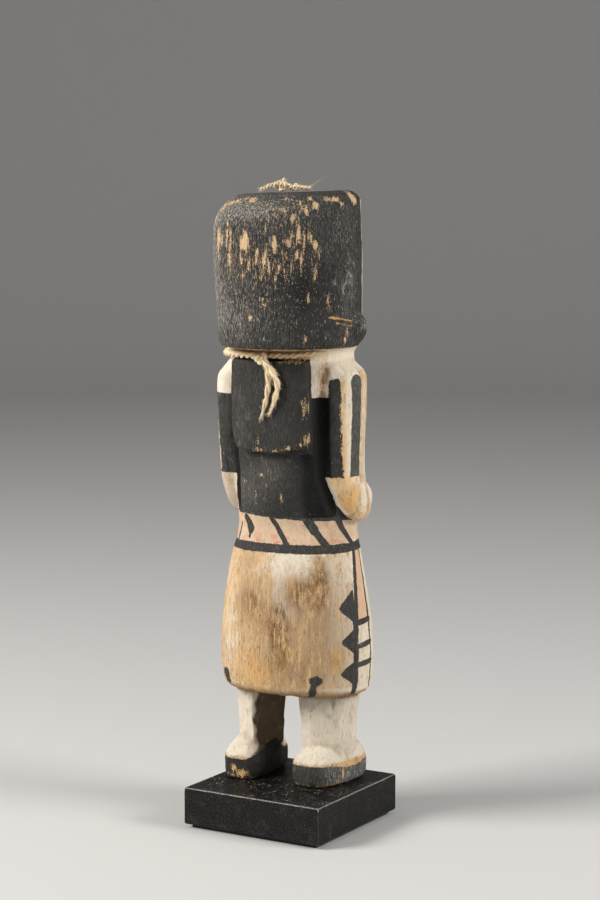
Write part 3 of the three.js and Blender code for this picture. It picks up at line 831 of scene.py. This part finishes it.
    # soles
    rightRound = turnRound(axes["rightFoot"], 1)
    leftRound = turnRound(axes["leftFoot"], 1)
    rightTop = timesAdd(calc("COSINE", times(rightRound, 0.035)), 1.2, paint["soleZ"][0])
    leftBulge = minus(calc("ABSOLUTE", minus(leftRound, 74)), 62)
    leftTop = add(paint["soleZ"][1], anyOf(times(leftBulge, -0.1), 0))
    soleRight = allOf(minus(rightTop, z), minus(legParting, x))
    soleLeft = allOf(minus(leftTop, z), minus(x, legParting))
    thick = ragged(anyOf(headBlack, panelBlack, trunkBlack, innerFaces), 1.7)
    band = within(z, bandLow, bandHigh)
    thin = ragged(anyOf(armBlack, sash, band, side, soleRight, soleLeft), 1.5)
    remnants = times(ragged(anyOf(hemLeft, hemFar), 4.4, 0.25), fade(z, 35.3, 35.8))
    frayed = ragged(innerRight, 4.5, 0.2)
    # a plain painted face: two eye slits and a short mouth
    beside = minus(calc("ABSOLUTE", minus(x, axes["head"][0])), paint["eyeX"])
    eyes = allOf(minus(3.0, calc("ABSOLUTE", beside)), minus(1.1, calc("ABSOLUTE", minus(z, paint["eyeZ"]))))
    mouth = allOf(within(x, -2.4, 2.4), minus(0.9, calc("ABSOLUTE", minus(z, paint["mouthZ"]))))
    face = ragged(allOf(anyOf(eyes, mouth), minus(-12, y)), 0.8)
    black = anyOf(thick, thin, remnants, frayed, face)

    # bare wood shows through the black: set flakes, rubbed streaks, short dashes, worn edges
    rubbed = add(times(streaks, 0.62), times(fineStreaks, 0.38))
    level = timesAdd(rub, -0.14, 0.705)
    level = timesAdd(edge, -0.07, level)
    bareStreaks = fade(minus(rubbed, level), -0.005, 0.035)
    level = timesAdd(rub, -0.13, 0.74)
    bareDashes = fade(minus(dashes, level), 0, 0.035)
    broken = add(times(minus(streaks, 0.5), 4.6), times(minus(grit, 0.5), 3.8))
    flakes = fade(add(chip, broken), -0.12, 0.2)
    dust = useGroup(dustGroup, {"Vector": place, "More specks": times(rub, 0.06)})
    bare = anyOf(bareStreaks, flakes, times(bareDashes, 0.85))
    blackLeft = times(black, minus(1, bare))

    # colours from the wood up
    wood = layer(grain["Tone"], paint["woodDark"], paint["woodLight"])
    wood = layer(times(fade(broad, 0.47, 0.68), 0.35), wood, paint["woodOrange"])
    wood = layer(times(grain["Pores"], 0.6), wood, paint["dirt"])
    cloudy = add(times(streaks, 0.6), times(mottled, 0.4))
    wood = layer(times(stain, fade(cloudy, 0.4, 0.6)), wood, paint["woodOrange"])
    white = layer(times(fade(mottled, 0.5, 0.8), 0.5), paint["white"], paint["whiteDirtAndShade"])
    # painted shade: the white is darkened in the hollows
    white = layer(times(hollow, 0.6), white, paint["whiteDirtAndShade"])
    white = layer(times(fade(fineStreaks, 0.53, 0.72), 0.4), white, paint["whiteDirtAndShade"])
    white = layer(times(fade(grit, 0.58, 0.74), 0.4), white, paint["whiteDirtAndShade"])
    patchy = add(add(times(streaks, 0.38), times(mottled, 0.34)), times(grit, 0.28))
    level = minus(film, timesAdd(edge, 0.1, 0.5))
    whiteLeft = fade(timesAdd(level, 1.5, times(minus(patchy, 0.5), 4.0)), -0.3, 0.3)
    surface = layer(whiteLeft, wood, white)
    seeping = times(stain, fade(minus(patchy, timesAdd(stain, -0.1, 0.55)), 0, 0.05))
    surface = layer(times(seeping, 0.7), surface, paint["woodOrange"])
    # a line of whitewash is left beside the elbow
    besideElbow = allOf(within(rightOfElbow, -1.9, 0.3), within(z, 106, 121.5), minus(y, -3))
    besideElbow = ragged(besideElbow, 3.4, 0.2)
    surface = layer(besideElbow, surface, paint["white"])
    sashGround = allOf(within(z, paint["bandTop"] - 0.5, paint["sashZ"] + 1.5), within(x, -23.1, 24.1))
    sashGround = ragged(sashGround, 0.8, 0.4)
    dabs = fade(noiseAt(place, 0.3, (1, 1, 1.3), 4, 0.7), 0.5, 0.6)
    lowSash = fade(minus(99.5, z), 0, 3)
    pink = layer(times(fade(patchy, 0.44, 0.58), 0.6), paint["sash"], paint["sashTan"])
    pink = layer(times(dabs, timesAdd(lowSash, 0.6, 0.3)), pink, paint["rose"])
    pink = layer(times(fade(grit, 0.52, 0.66), 0.5), pink, paint["white"])
    pink = layer(times(fade(fineStreaks, 0.54, 0.7), 0.45), pink, paint["woodDark"])
    surface = layer(times(sashGround, 0.92), surface, pink)
    lineA = timesAdd(minus(z, 66), 0.42 * bodyPerDegree, sideFrom)
    lineB = timesAdd(minus(z, 62), 0.19 * bodyPerDegree, sideTo)
    orangeField = ragged(allOf(minus(around, lineA), minus(lineB, around), within(z, 65, 92)), 0.6, 0.3)
    surface = layer(times(orangeField, timesAdd(patchy, 0.9, 0.3)), surface, paint["orange"])
    onLeg = fade(minus(36, z), 0, 0.6)
    # the dirt attribute brings smudges and painted shade: brown on the body, darker brown on the legs
    smudged = times(dirt, fade(timesAdd(onLeg, 0.1, patchy), 0.38, 0.57))
    surface = layer(smudged, surface, layer(onLeg, paint["dirt"], paint["legDirtAndShade"]))
    hemGrime = times(fade(minus(38.2, z), 0, 2.2), fade(z, 33, 35))
    surface = layer(times(hemGrime, fade(grit, 0.35, 0.6)), surface, paint["grime"])
    soleGrime = times(fade(minus(1.4, z), 0, 1.2), 0.6)
    surface = layer(soleGrime, surface, paint["grime"])

    # black made darker at random, and painted shade: darkest in the hollows and where no dust lies, in the
    # gaps beside the trunk
    deep = times(fade(noiseAt(place, 0.05, (1, 1, 0.7), 2, 0.5), 0.4, 0.62), 0.6)
    deep = anyOf(deep, fade(minus(0.12, dustLightAndShade), 0, 0.1), times(hollow, 0.8))
    blackColour = layer(deep, paint["black"], paint["blackDeep"])
    onMask = fade(z, 168, 170)
    combed = times(fade(fineStreaks, 0.44, 0.64), timesAdd(onMask, 0.42, 0.58))
    # grey dust on the black, which is also painted light on the right arm's outer side and the mask's left
    # side
    dustyAndLit = times(dustLightAndShade, add(combed, timesAdd(onMask, -0.22, 0.28)))
    dustyAndLit = add(dustyAndLit, times(fade(grit, 0.55, 0.76), timesAdd(dustLightAndShade, 0.5, 0.08)))
    blackColour = layer(dustyAndLit, blackColour, paint["blackDustAndLight"])
    gritty = add(times(grit, 0.5), times(fineStreaks, 0.5))
    wisps = times(dust["Film"], fade(gritty, 0.46, 0.6))
    blackColour = layer(times(wisps, times(dustLightAndShade, 0.9)), blackColour, paint["dustSmudgeAndLight"])
    thickDustAndLight = times(fade(dustLightAndShade, 0.6, 1.0), fade(gritty, 0.48, 0.6))
    blackColour = layer(thickDustAndLight, blackColour, paint["dustSmudgeAndLight"])
    fleckLevel = minus(0.7, times(onMask, timesAdd(add(rub, dustLightAndShade), 0.06, 0.055)))
    flecks = fade(minus(dashes, fleckLevel), 0, 0.04)
    blackColour = layer(times(flecks, 0.7), blackColour, paint["fleck"])
    blackColour = layer(times(dust["Specks"], 0.75), blackColour, paint["white"])
    scratches = ragged(strokes(headAround, headPerDegree, scratchStrokes), 2.2, 0.25)
    blackColour = layer(times(scratches, 0.85), blackColour, paint["scratch"])
    # wood that shows through the black is pale on the flat and orange where it is stained
    chipWood = layer(times(fade(mottled, 0.5, 0.64), 0.45), surface, paint["scratch"])
    chipWood = layer(times(fade(grit, 0.42, 0.6), 0.5), chipWood, paint["chip"])
    rim = times(fade(minus(0.45, add(chip, broken)), 0, 0.5), fade(grit, 0.4, 0.6))
    chipWood = layer(rim, chipWood, paint["scratch"])
    inside = layer(times(black, fade(z, 104, 106)), surface, chipWood)
    surface = layer(blackLeft, inside, blackColour)
    join(surface, shader.inputs["Base Color"])

    # sheen and relief
    rough = timesAdd(blackLeft, -0.2, 0.84)
    rough = timesAdd(fineStreaks, 0.14, rough)
    join(rough, shader.inputs["Roughness"])
    shader.inputs["Specular IOR Level"].default_value = 0.22
    height = grain["Height"]
    for field, depth in ((blackLeft, 0.12), (whiteLeft, 0.07), (mottled, 0.25), (grit, 0.13)):
        height = timesAdd(field, depth, height)
    height = timesAdd(fineStreaks, timesAdd(onMask, 0.12, 0.05), height)
    addBump(shader, height, 1.0, mm)
    return material


figure = makeFigure()
dress(figure, makeFigurePaint())
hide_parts("figure")
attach(figure, "root")
print("figure painted")


# twine: the neck string and the scrap on the crown

twine = {"pale": (0.92, 0.77, 0.52, 1), "brown": (0.55, 0.36, 0.18, 1)}
neckString = {
    "halfWidth": 25.6, "halfDepth": 18.9, "middle": (0.2, -1.4), "squareness": 2.3,
    # turn from the back towards the right, height, how far out, radius
    "run": [
        (-64, 166.9, 0.2, 1.2), (-30, 167.1, 0.3, 1.3), (-9, 166.9, 0.3, 1.25), (0, 167.2, 0.3, 1.05),
        (20, 167.5, 0.2, 1.0), (34, 168.2, 0.0, 0.95), (46, 169.0, -0.8, 0.9), (60, 169.4, -1.8, 0.85),
        (240, 169.4, -1.2, 0.9), (275, 167.8, -0.2, 1.1)],
    "lay": 5.6, "yarns": 5,
    "knotAt": (2.3, 20.4, 166.2), "knotSize": (0.74, 0.62, 0.5), "knotRadius": 1.0,
    "outerTail": [
        (1.0, 20.9, 166.2), (-1.0, 21.0, 163.8), (-2.8, 20.8, 161.2), (-4.1, 20.6, 158.4),
        (-4.4, 20.5, 156.0), (-3.7, 20.4, 152.8), (-2.5, 20.2, 149.4), (-1.1, 20.0, 146.2)],
    "innerTail": [
        (1.4, 20.3, 165.8), (-0.2, 20.7, 162.6), (-0.8, 20.6, 159.6), (-0.6, 20.4, 156.4),
        (0.0, 20.3, 152.6), (1.2, 20.1, 148.4), (2.7, 19.9, 144.2)],
    "tailRadius": 1.25, "fuzz": 200,
}
crownTie = {
    "top": 228.1, "radius": 0.98, "lay": 2.8, "yarns": 3, "fuzz": 70,
    "knotRadius": 0.8, "knotSize": (0.6, 0.42, 0.46),
    # sideways, back and height above the top
    "left": [
        (2.2, 1.8, 3.0), (4.0, 2.5, 3.3), (5.6, 3.0, 2.5), (7.4, 3.7, 2.2), (9.2, 4.4, 1.3),
        (10.5, 4.9, 0.9)],
    "right": [
        (2.6, 1.9, 2.6), (0.8, 1.2, 2.7), (-0.6, 0.7, 1.6), (-2.4, 0.1, 2.0), (-4.8, -0.9, 1.6),
        (-7.2, -1.9, 1.6)],
    "short": [(3.8, 2.2, 3.0), (2.6, 1.8, 4.0), (1.8, 1.5, 4.8)],
    "foot": [(2.4, 1.6, 2.6), (2.0, 1.5, 1.6), (2.6, 1.7, 0.6)],
    "wisp": [(-6.8, -1.8, 1.8), (-9.2, -2.6, 3.4), (-11.4, -3.2, 4.6), (-14, -4, 6.6)],
}


def smoothPath(points, step):
    # an even run of points along a smooth curve through the given ones
    ends = [points[0]] + list(points) + [points[-1]]
    fine = []
    for p0, p1, p2, p3 in zip(ends, ends[1:], ends[2:], ends[3:]):
        p0, p1, p2, p3 = (Vector(p) for p in (p0, p1, p2, p3))
        for i in range(24):
            t = i / 24
            square, cube = 2 * p0 - 5 * p1 + 4 * p2 - p3, 3 * p1 - p0 - 3 * p2 + p3
            fine.append(0.5 * (2 * p1 + (p2 - p0) * t + square * t * t + cube * t ** 3))
    fine.append(Vector(points[-1]))
    even, spare = [fine[0]], 0.0
    for start, end in zip(fine, fine[1:]):
        length = (end - start).length
        while spare + length >= step and length > 0:
            start = start.lerp(end, (step - spare) / length)
            even.append(start.copy())
            length = (end - start).length
            spare = 0.0
        spare += length
    return even


def laidCord(path, radiusAt, lay, yarns, reference, seed, closed=False):
    # two plies twisted round each other, each of several yarns; returns lists of (point, radius)
    draw = random.Random(seed)
    lengths = [0.0]
    for start, end in zip(path, path[1:]):
        lengths.append(lengths[-1] + (end - start).length)
    total = lengths[-1]
    turns = max(1, round(total / lay)) if closed else total / lay
    strands = []
    for ply in range(2):
        for yarn in range(yarns):
            phase = 2 * math.pi * (yarn / yarns + draw.uniform(-0.05, 0.05))
            own = draw.uniform(0.85, 1.2)
            strand = []
            for i, point in enumerate(path):
                ahead = path[(i + 1) % len(path)] if closed else path[min(i + 1, len(path) - 1)]
                behind = path[i - 1] if closed or i else path[0]
                along = (ahead - behind).normalized()
                across = along.cross(reference).normalized()
                up = across.cross(along)
                share = lengths[i] / total
                full = radiusAt(share)
                plyAngle = 2 * math.pi * turns * share + math.pi * ply
                yarnAngle = phase - 2 * math.pi * turns * share
                offset = across * math.cos(plyAngle) + up * math.sin(plyAngle)
                inner = across * math.cos(yarnAngle + plyAngle) + up * math.sin(yarnAngle + plyAngle)
                loose = 1 + 0.12 * noise.noise((share * total * 0.6, seed + ply * 7, yarn * 3.1))
                place = point + offset * full * 0.48 + inner * full * 0.3 * loose
                strand.append((place, full * 0.24 * own))
            strands.append(strand)
    return strands


def anyWay(draw):
    return Vector([draw.uniform(-1, 1) for _ in range(3)])


def fibres(path, radiusAt, amount, seed, longest=3.0, thickness=0.05, endBias=0.0):
    # stray hairs that leave the cord and curl away
    draw = random.Random(seed)
    strands = []
    for _ in range(amount):
        at = 1 - draw.random() ** 2.5 if draw.random() < endBias else draw.random()
        i = min(int(at * (len(path) - 2)) + 1, len(path) - 2)
        along = (path[i + 1] - path[i - 1]).normalized()
        out = anyWay(draw)
        out = (out - along * out.dot(along)).normalized()
        length = draw.uniform(0.35, 1) * longest
        heading = (along * draw.choice((-1, 1)) + out * draw.uniform(0.15, 0.7)).normalized()
        if at > 0.93:
            heading = (along + out * draw.uniform(0, 0.5)).normalized()
        curl = anyWay(draw) * 0.5
        place = path[i] + out * radiusAt(at) * 0.75
        strand = []
        for k in range(7):
            strand.append((place.copy(), thickness * (1 - 0.8 * k / 6)))
            place += heading * length / 6
            heading = (heading + curl * 0.35).normalized()
        strands.append(strand)
    return strands


def strandsToMesh(name, groups):
    # each group is (strands, sides / 4 - 1)
    whole = bmesh.new()
    for strands, bevelResolution in groups:
        data = bpy.data.curves.new(name + "_line", "CURVE")
        data.dimensions = "3D"
        data.bevel_depth = mm
        data.bevel_resolution = bevelResolution
        data.use_fill_caps = True
        for strand in strands:
            spline = data.splines.new("POLY")
            spline.points.add(len(strand) - 1)
            for spot, (place, radius) in zip(spline.points, strand):
                spot.co = (*(fromDoll @ place), 1)
                spot.radius = radius
        line = meshObject(name + "_line", data)
        tubes = finishedMesh(line)
        whole.from_mesh(tubes)
        bpy.data.objects.remove(line)
        bpy.data.curves.remove(data)
        bpy.data.meshes.remove(tubes)
    bmesh.ops.recalc_face_normals(whole, faces=whole.faces)
    mesh = bpy.data.meshes.new(name)
    whole.to_mesh(mesh)
    whole.free()
    shadeSmooth(mesh)
    return meshObject(name, mesh)


def makeTwineMaterial():
    material, shader, place = startMaterial("twine", soleZ, carving["turn"])
    x, _, z = partsOf(place)
    hairs = noiseAt(place, 5.0, detail=4, roughness=0.7)
    stains = noiseAt(place, 0.45, roughness=0.6)
    # the run to the right of the knot is darker
    darkSide = times(fade(minus(-0.5, x), 0, 3), fade(z, 163, 166))
    darkSide = times(darkSide, fade(minus(200, z), 0, 10))
    colour = layer(fade(hairs, 0.15, 0.55), twine["brown"], twine["pale"])
    share = add(times(darkSide, 0.4), times(fade(stains, 0.5, 0.75), 0.3))
    colour = layer(share, colour, twine["brown"])
    join(colour, shader.inputs["Base Color"])
    join(timesAdd(hairs, 0.15, 0.8), shader.inputs["Roughness"])
    shader.inputs["Sheen Weight"].default_value = 0.25
    shader.inputs["Sheen Roughness"].default_value = 0.6
    addBump(shader, hairs, 0.6, 0.1 * mm)
    return material


def knotPath(middle, size, tilt=0):
    # a trefoil is the middle of a pulled overhand knot
    path = []
    for i in range(90):
        t = 2 * math.pi * i / 90
        loop = (math.sin(t) + 2 * math.sin(2 * t), -math.sin(3 * t), math.cos(t) - 2 * math.cos(2 * t))
        spot = Vector([part * scale for part, scale in zip(loop, size)])
        path.append(Vector(middle) + Matrix.Rotation(tilt, 3, "Y") @ spot)
    return path


def makeNeckString():
    n = neckString
    up = Vector((0, 0, 1))
    back = Vector((0, 1, 0))
    turns, *columns = np.array(n["run"], float).T
    loop, loopRadii = [], []
    for i in range(420):
        turn = 360 * i / 420
        angle = math.radians(90 + turn)
        c, s = math.cos(angle), math.sin(angle)
        reach = (abs(c) ** n["squareness"] + abs(s) ** n["squareness"]) ** (-1 / n["squareness"])
        height, out, radius = (np.interp(turn, turns, column, period=360) for column in columns)
        sag = 0.2 * noise.noise((c * 3, s * 3, 1.7))
        loop.append(Vector((n["middle"][0] + (n["halfWidth"] + out) * c * reach,
                            n["middle"][1] + (n["halfDepth"] + out) * s * reach, height + sag)))
        loopRadii.append(radius)
    knot = knotPath(n["knotAt"], n["knotSize"], 0.5)
    outer = smoothPath(n["outerTail"], 0.3)
    inner = smoothPath(n["innerTail"], 0.3)

    def loopRadius(share):
        return loopRadii[min(int(share * len(loopRadii)), len(loopRadii) - 1)]

    def tailRadius(share):
        swell = 0.85 + 0.15 * math.sin(math.pi * min(1, share * 1.6))
        return n["tailRadius"] * swell * (1 - 0.7 * max(0, share - 0.72) / 0.28)

    strands = laidCord(loop, loopRadius, n["lay"], n["yarns"], up, 11, closed=True)
    for strand in strands:
        strand.append(strand[0])
    strands += laidCord(knot, lambda share: n["knotRadius"], 3.4, 5, back, 12, closed=True)
    strands += laidCord(outer, tailRadius, 10, 6, back, 13)
    strands += laidCord(inner, tailRadius, 11, 6, back, 14)
    hairs = fibres(loop, loopRadius, n["fuzz"], 15, 2.2, 0.045)
    hairs += fibres(outer, tailRadius, 170, 16, 3.2, 0.06, 0.5)
    hairs += fibres(inner, tailRadius, 130, 17, 3.0, 0.06, 0.5)
    hairs += fibres(knot, lambda share: 0.9, 40, 18, 1.8, 0.045)
    return strandsToMesh("neck_twine", [(strands, 1), (hairs, 0)])


def makeCrownTie():
    c = crownTie
    top = c["top"]
    back = Vector((0, 1, 0.2))

    def above(name, step):
        return smoothPath([(x, y, top + z) for x, y, z in c[name]], step)

    left, right, short, foot = (above(name, 0.25) for name in ("left", "right", "short", "foot"))
    knot = knotPath((2.8, 2.0, top + 2.2), c["knotSize"], 0.3)
    lump = knotPath((-2.0, 0.2, top + 1.8), (0.36, 0.3, 0.34), 0.8)

    def taper(share):
        return c["radius"] * (1.1 - 0.5 * max(0, share - 0.4))

    strands = []
    for seed, path in enumerate((left, right, short, foot)):
        strands += laidCord(path, taper, c["lay"], c["yarns"], back, 21 + seed)
    strands += laidCord(knot, lambda share: c["knotRadius"], 2.4, 3, back, 26, closed=True)
    strands += laidCord(lump, lambda share: 0.6, 2.2, 3, back, 27, closed=True)
    hairs = fibres(left, taper, c["fuzz"], 31, 2.0, 0.05, 0.4)
    hairs += fibres(right, taper, c["fuzz"] + 20, 32, 2.2, 0.05, 0.7)
    hairs += fibres(short, taper, 24, 33, 1.4, 0.05, 0.5)
    wisp = above("wisp", 0.3)
    for k in range(5):
        draw = random.Random(40 + k)
        off = anyWay(draw)
        length = int(len(wisp) * draw.uniform(0.4, 1))
        hairs.append([(p + off * 0.5 * math.sin(i * 0.23 + k), 0.014) for i, p in enumerate(wisp[:length])])
    return strandsToMesh("crown_twine", [(strands, 1), (hairs, 0)])


twineMaterial = makeTwineMaterial()
for made, node in ((makeNeckString(), "neck_string"), (makeCrownTie(), "crown_tie")):
    dress(made, twineMaterial)
    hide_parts(node)
    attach(made, "root")
    print(made.name, "laid:", len(made.data.polygons), "faces")


# plinth and felt

plinthFinish = {
    "black": (0.007, 0.007, 0.0075, 1), "dust": (0.6, 0.54, 0.44, 1), "worn": (0.42, 0.41, 0.39, 1),
    "half": 30.0, "topZ": 16.0, "edgeWidth": 0.26,
}
feltFinish = {"dark": (0.008, 0.008, 0.009, 1), "nap": (0.03, 0.03, 0.032, 1)}


def makePlinthMaterial():
    finish = plinthFinish
    material, shader, place = startMaterial("black_lacquer")
    x, y, z = partsOf(place)
    dust = useGroup(dustGroup, {"Vector": place, "More specks": 0.05})
    normal = addNode(material.node_tree, "ShaderNodeNewGeometry").outputs["Normal"]
    upward = fade(partsOf(normal)[2], 0.3, 0.9)
    # how far inside each of the block's flat sides
    sides = [minus(finish["half"], calc("ABSOLUTE", x)), minus(finish["half"], calc("ABSOLUTE", y))]
    sides.append(minus(finish["topZ"], z))
    total = add(add(sides[0], sides[1]), sides[2])
    second = minus(minus(total, allOf(*sides)), anyOf(*sides))
    speckle = noiseAt(place, 1.3, (1, 1, 1), 3, 0.6)
    pitted = noiseAt(place, 2.4, (1, 1, 1), 4, 0.7)
    tree = material.node_tree
    shifted = addNode(tree, "ShaderNodeVectorMath", {0: place, 1: speckle}, operation="ADD").outputs[0]
    veins = addNode(tree, "ShaderNodeTexVoronoi", {"Vector": shifted, "Scale": 0.8},
                    feature="DISTANCE_TO_EDGE").outputs["Distance"]
    cracks = minus(1, fade(veins, 0.0, 0.12))
    # a pale line along the top edges: partly edge wear, partly a painted highlight
    nearTop = fade(z, finish["topZ"] - 1.6, finish["topZ"] - 0.6)
    worn = fade(timesAdd(pitted, 1.1, minus(finish["edgeWidth"] - 0.5, second)), -0.2, 0.12)
    worn = times(worn, timesAdd(nearTop, 0.95, 0.05))
    # grey mottle on the sides only, which also paints the sides lighter than the top, as the light falls
    sideMottleAndLight = times(fade(pitted, 0.5, 0.68), timesAdd(upward, -0.17, 0.2))
    colour = layer(sideMottleAndLight, finish["black"], finish["worn"])
    colour = layer(times(dust["Film"], 0.05), colour, finish["dust"])
    grains = fade(noiseAt(place, 0.9, (1, 1, 1), 1, 0.5), 0.725, 0.745)
    specks = times(anyOf(dust["Specks"], grains), timesAdd(upward, 0.65, 0.15))
    colour = layer(specks, colour, finish["dust"])
    colour = layer(times(worn, 0.85), colour, finish["worn"])
    join(colour, shader.inputs["Base Color"])
    rough = timesAdd(pitted, 0.2, 0.34)
    rough = timesAdd(upward, -0.14, rough)
    join(timesAdd(dust["Film"], 0.1, rough), shader.inputs["Roughness"])
    shader.inputs["Specular IOR Level"].default_value = 0.09
    side = minus(1, upward)
    height = timesAdd(times(cracks, side), -0.8, times(pitted, 1.2))
    height = timesAdd(speckle, 0.6, height)
    addBump(shader, height, 0.9, 0.16 * mm)
    return material


def makeFeltMaterial():
    material, shader, place = startMaterial("felt")
    nap = noiseAt(place, 4.0, detail=5, roughness=0.7, distortion=0.8)
    join(layer(nap, feltFinish["dark"], feltFinish["nap"]), shader.inputs["Base Color"])
    join(timesAdd(nap, 0.1, 0.88), shader.inputs["Roughness"])
    shader.inputs["Sheen Weight"].default_value = 0.3
    addBump(shader, nap, 0.7, 0.2 * mm)
    return material


for name, material in (("plinth", makePlinthMaterial()), ("felt_pad", makeFeltMaterial())):
    dress(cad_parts[name], material)
print("plinth and felt finished")
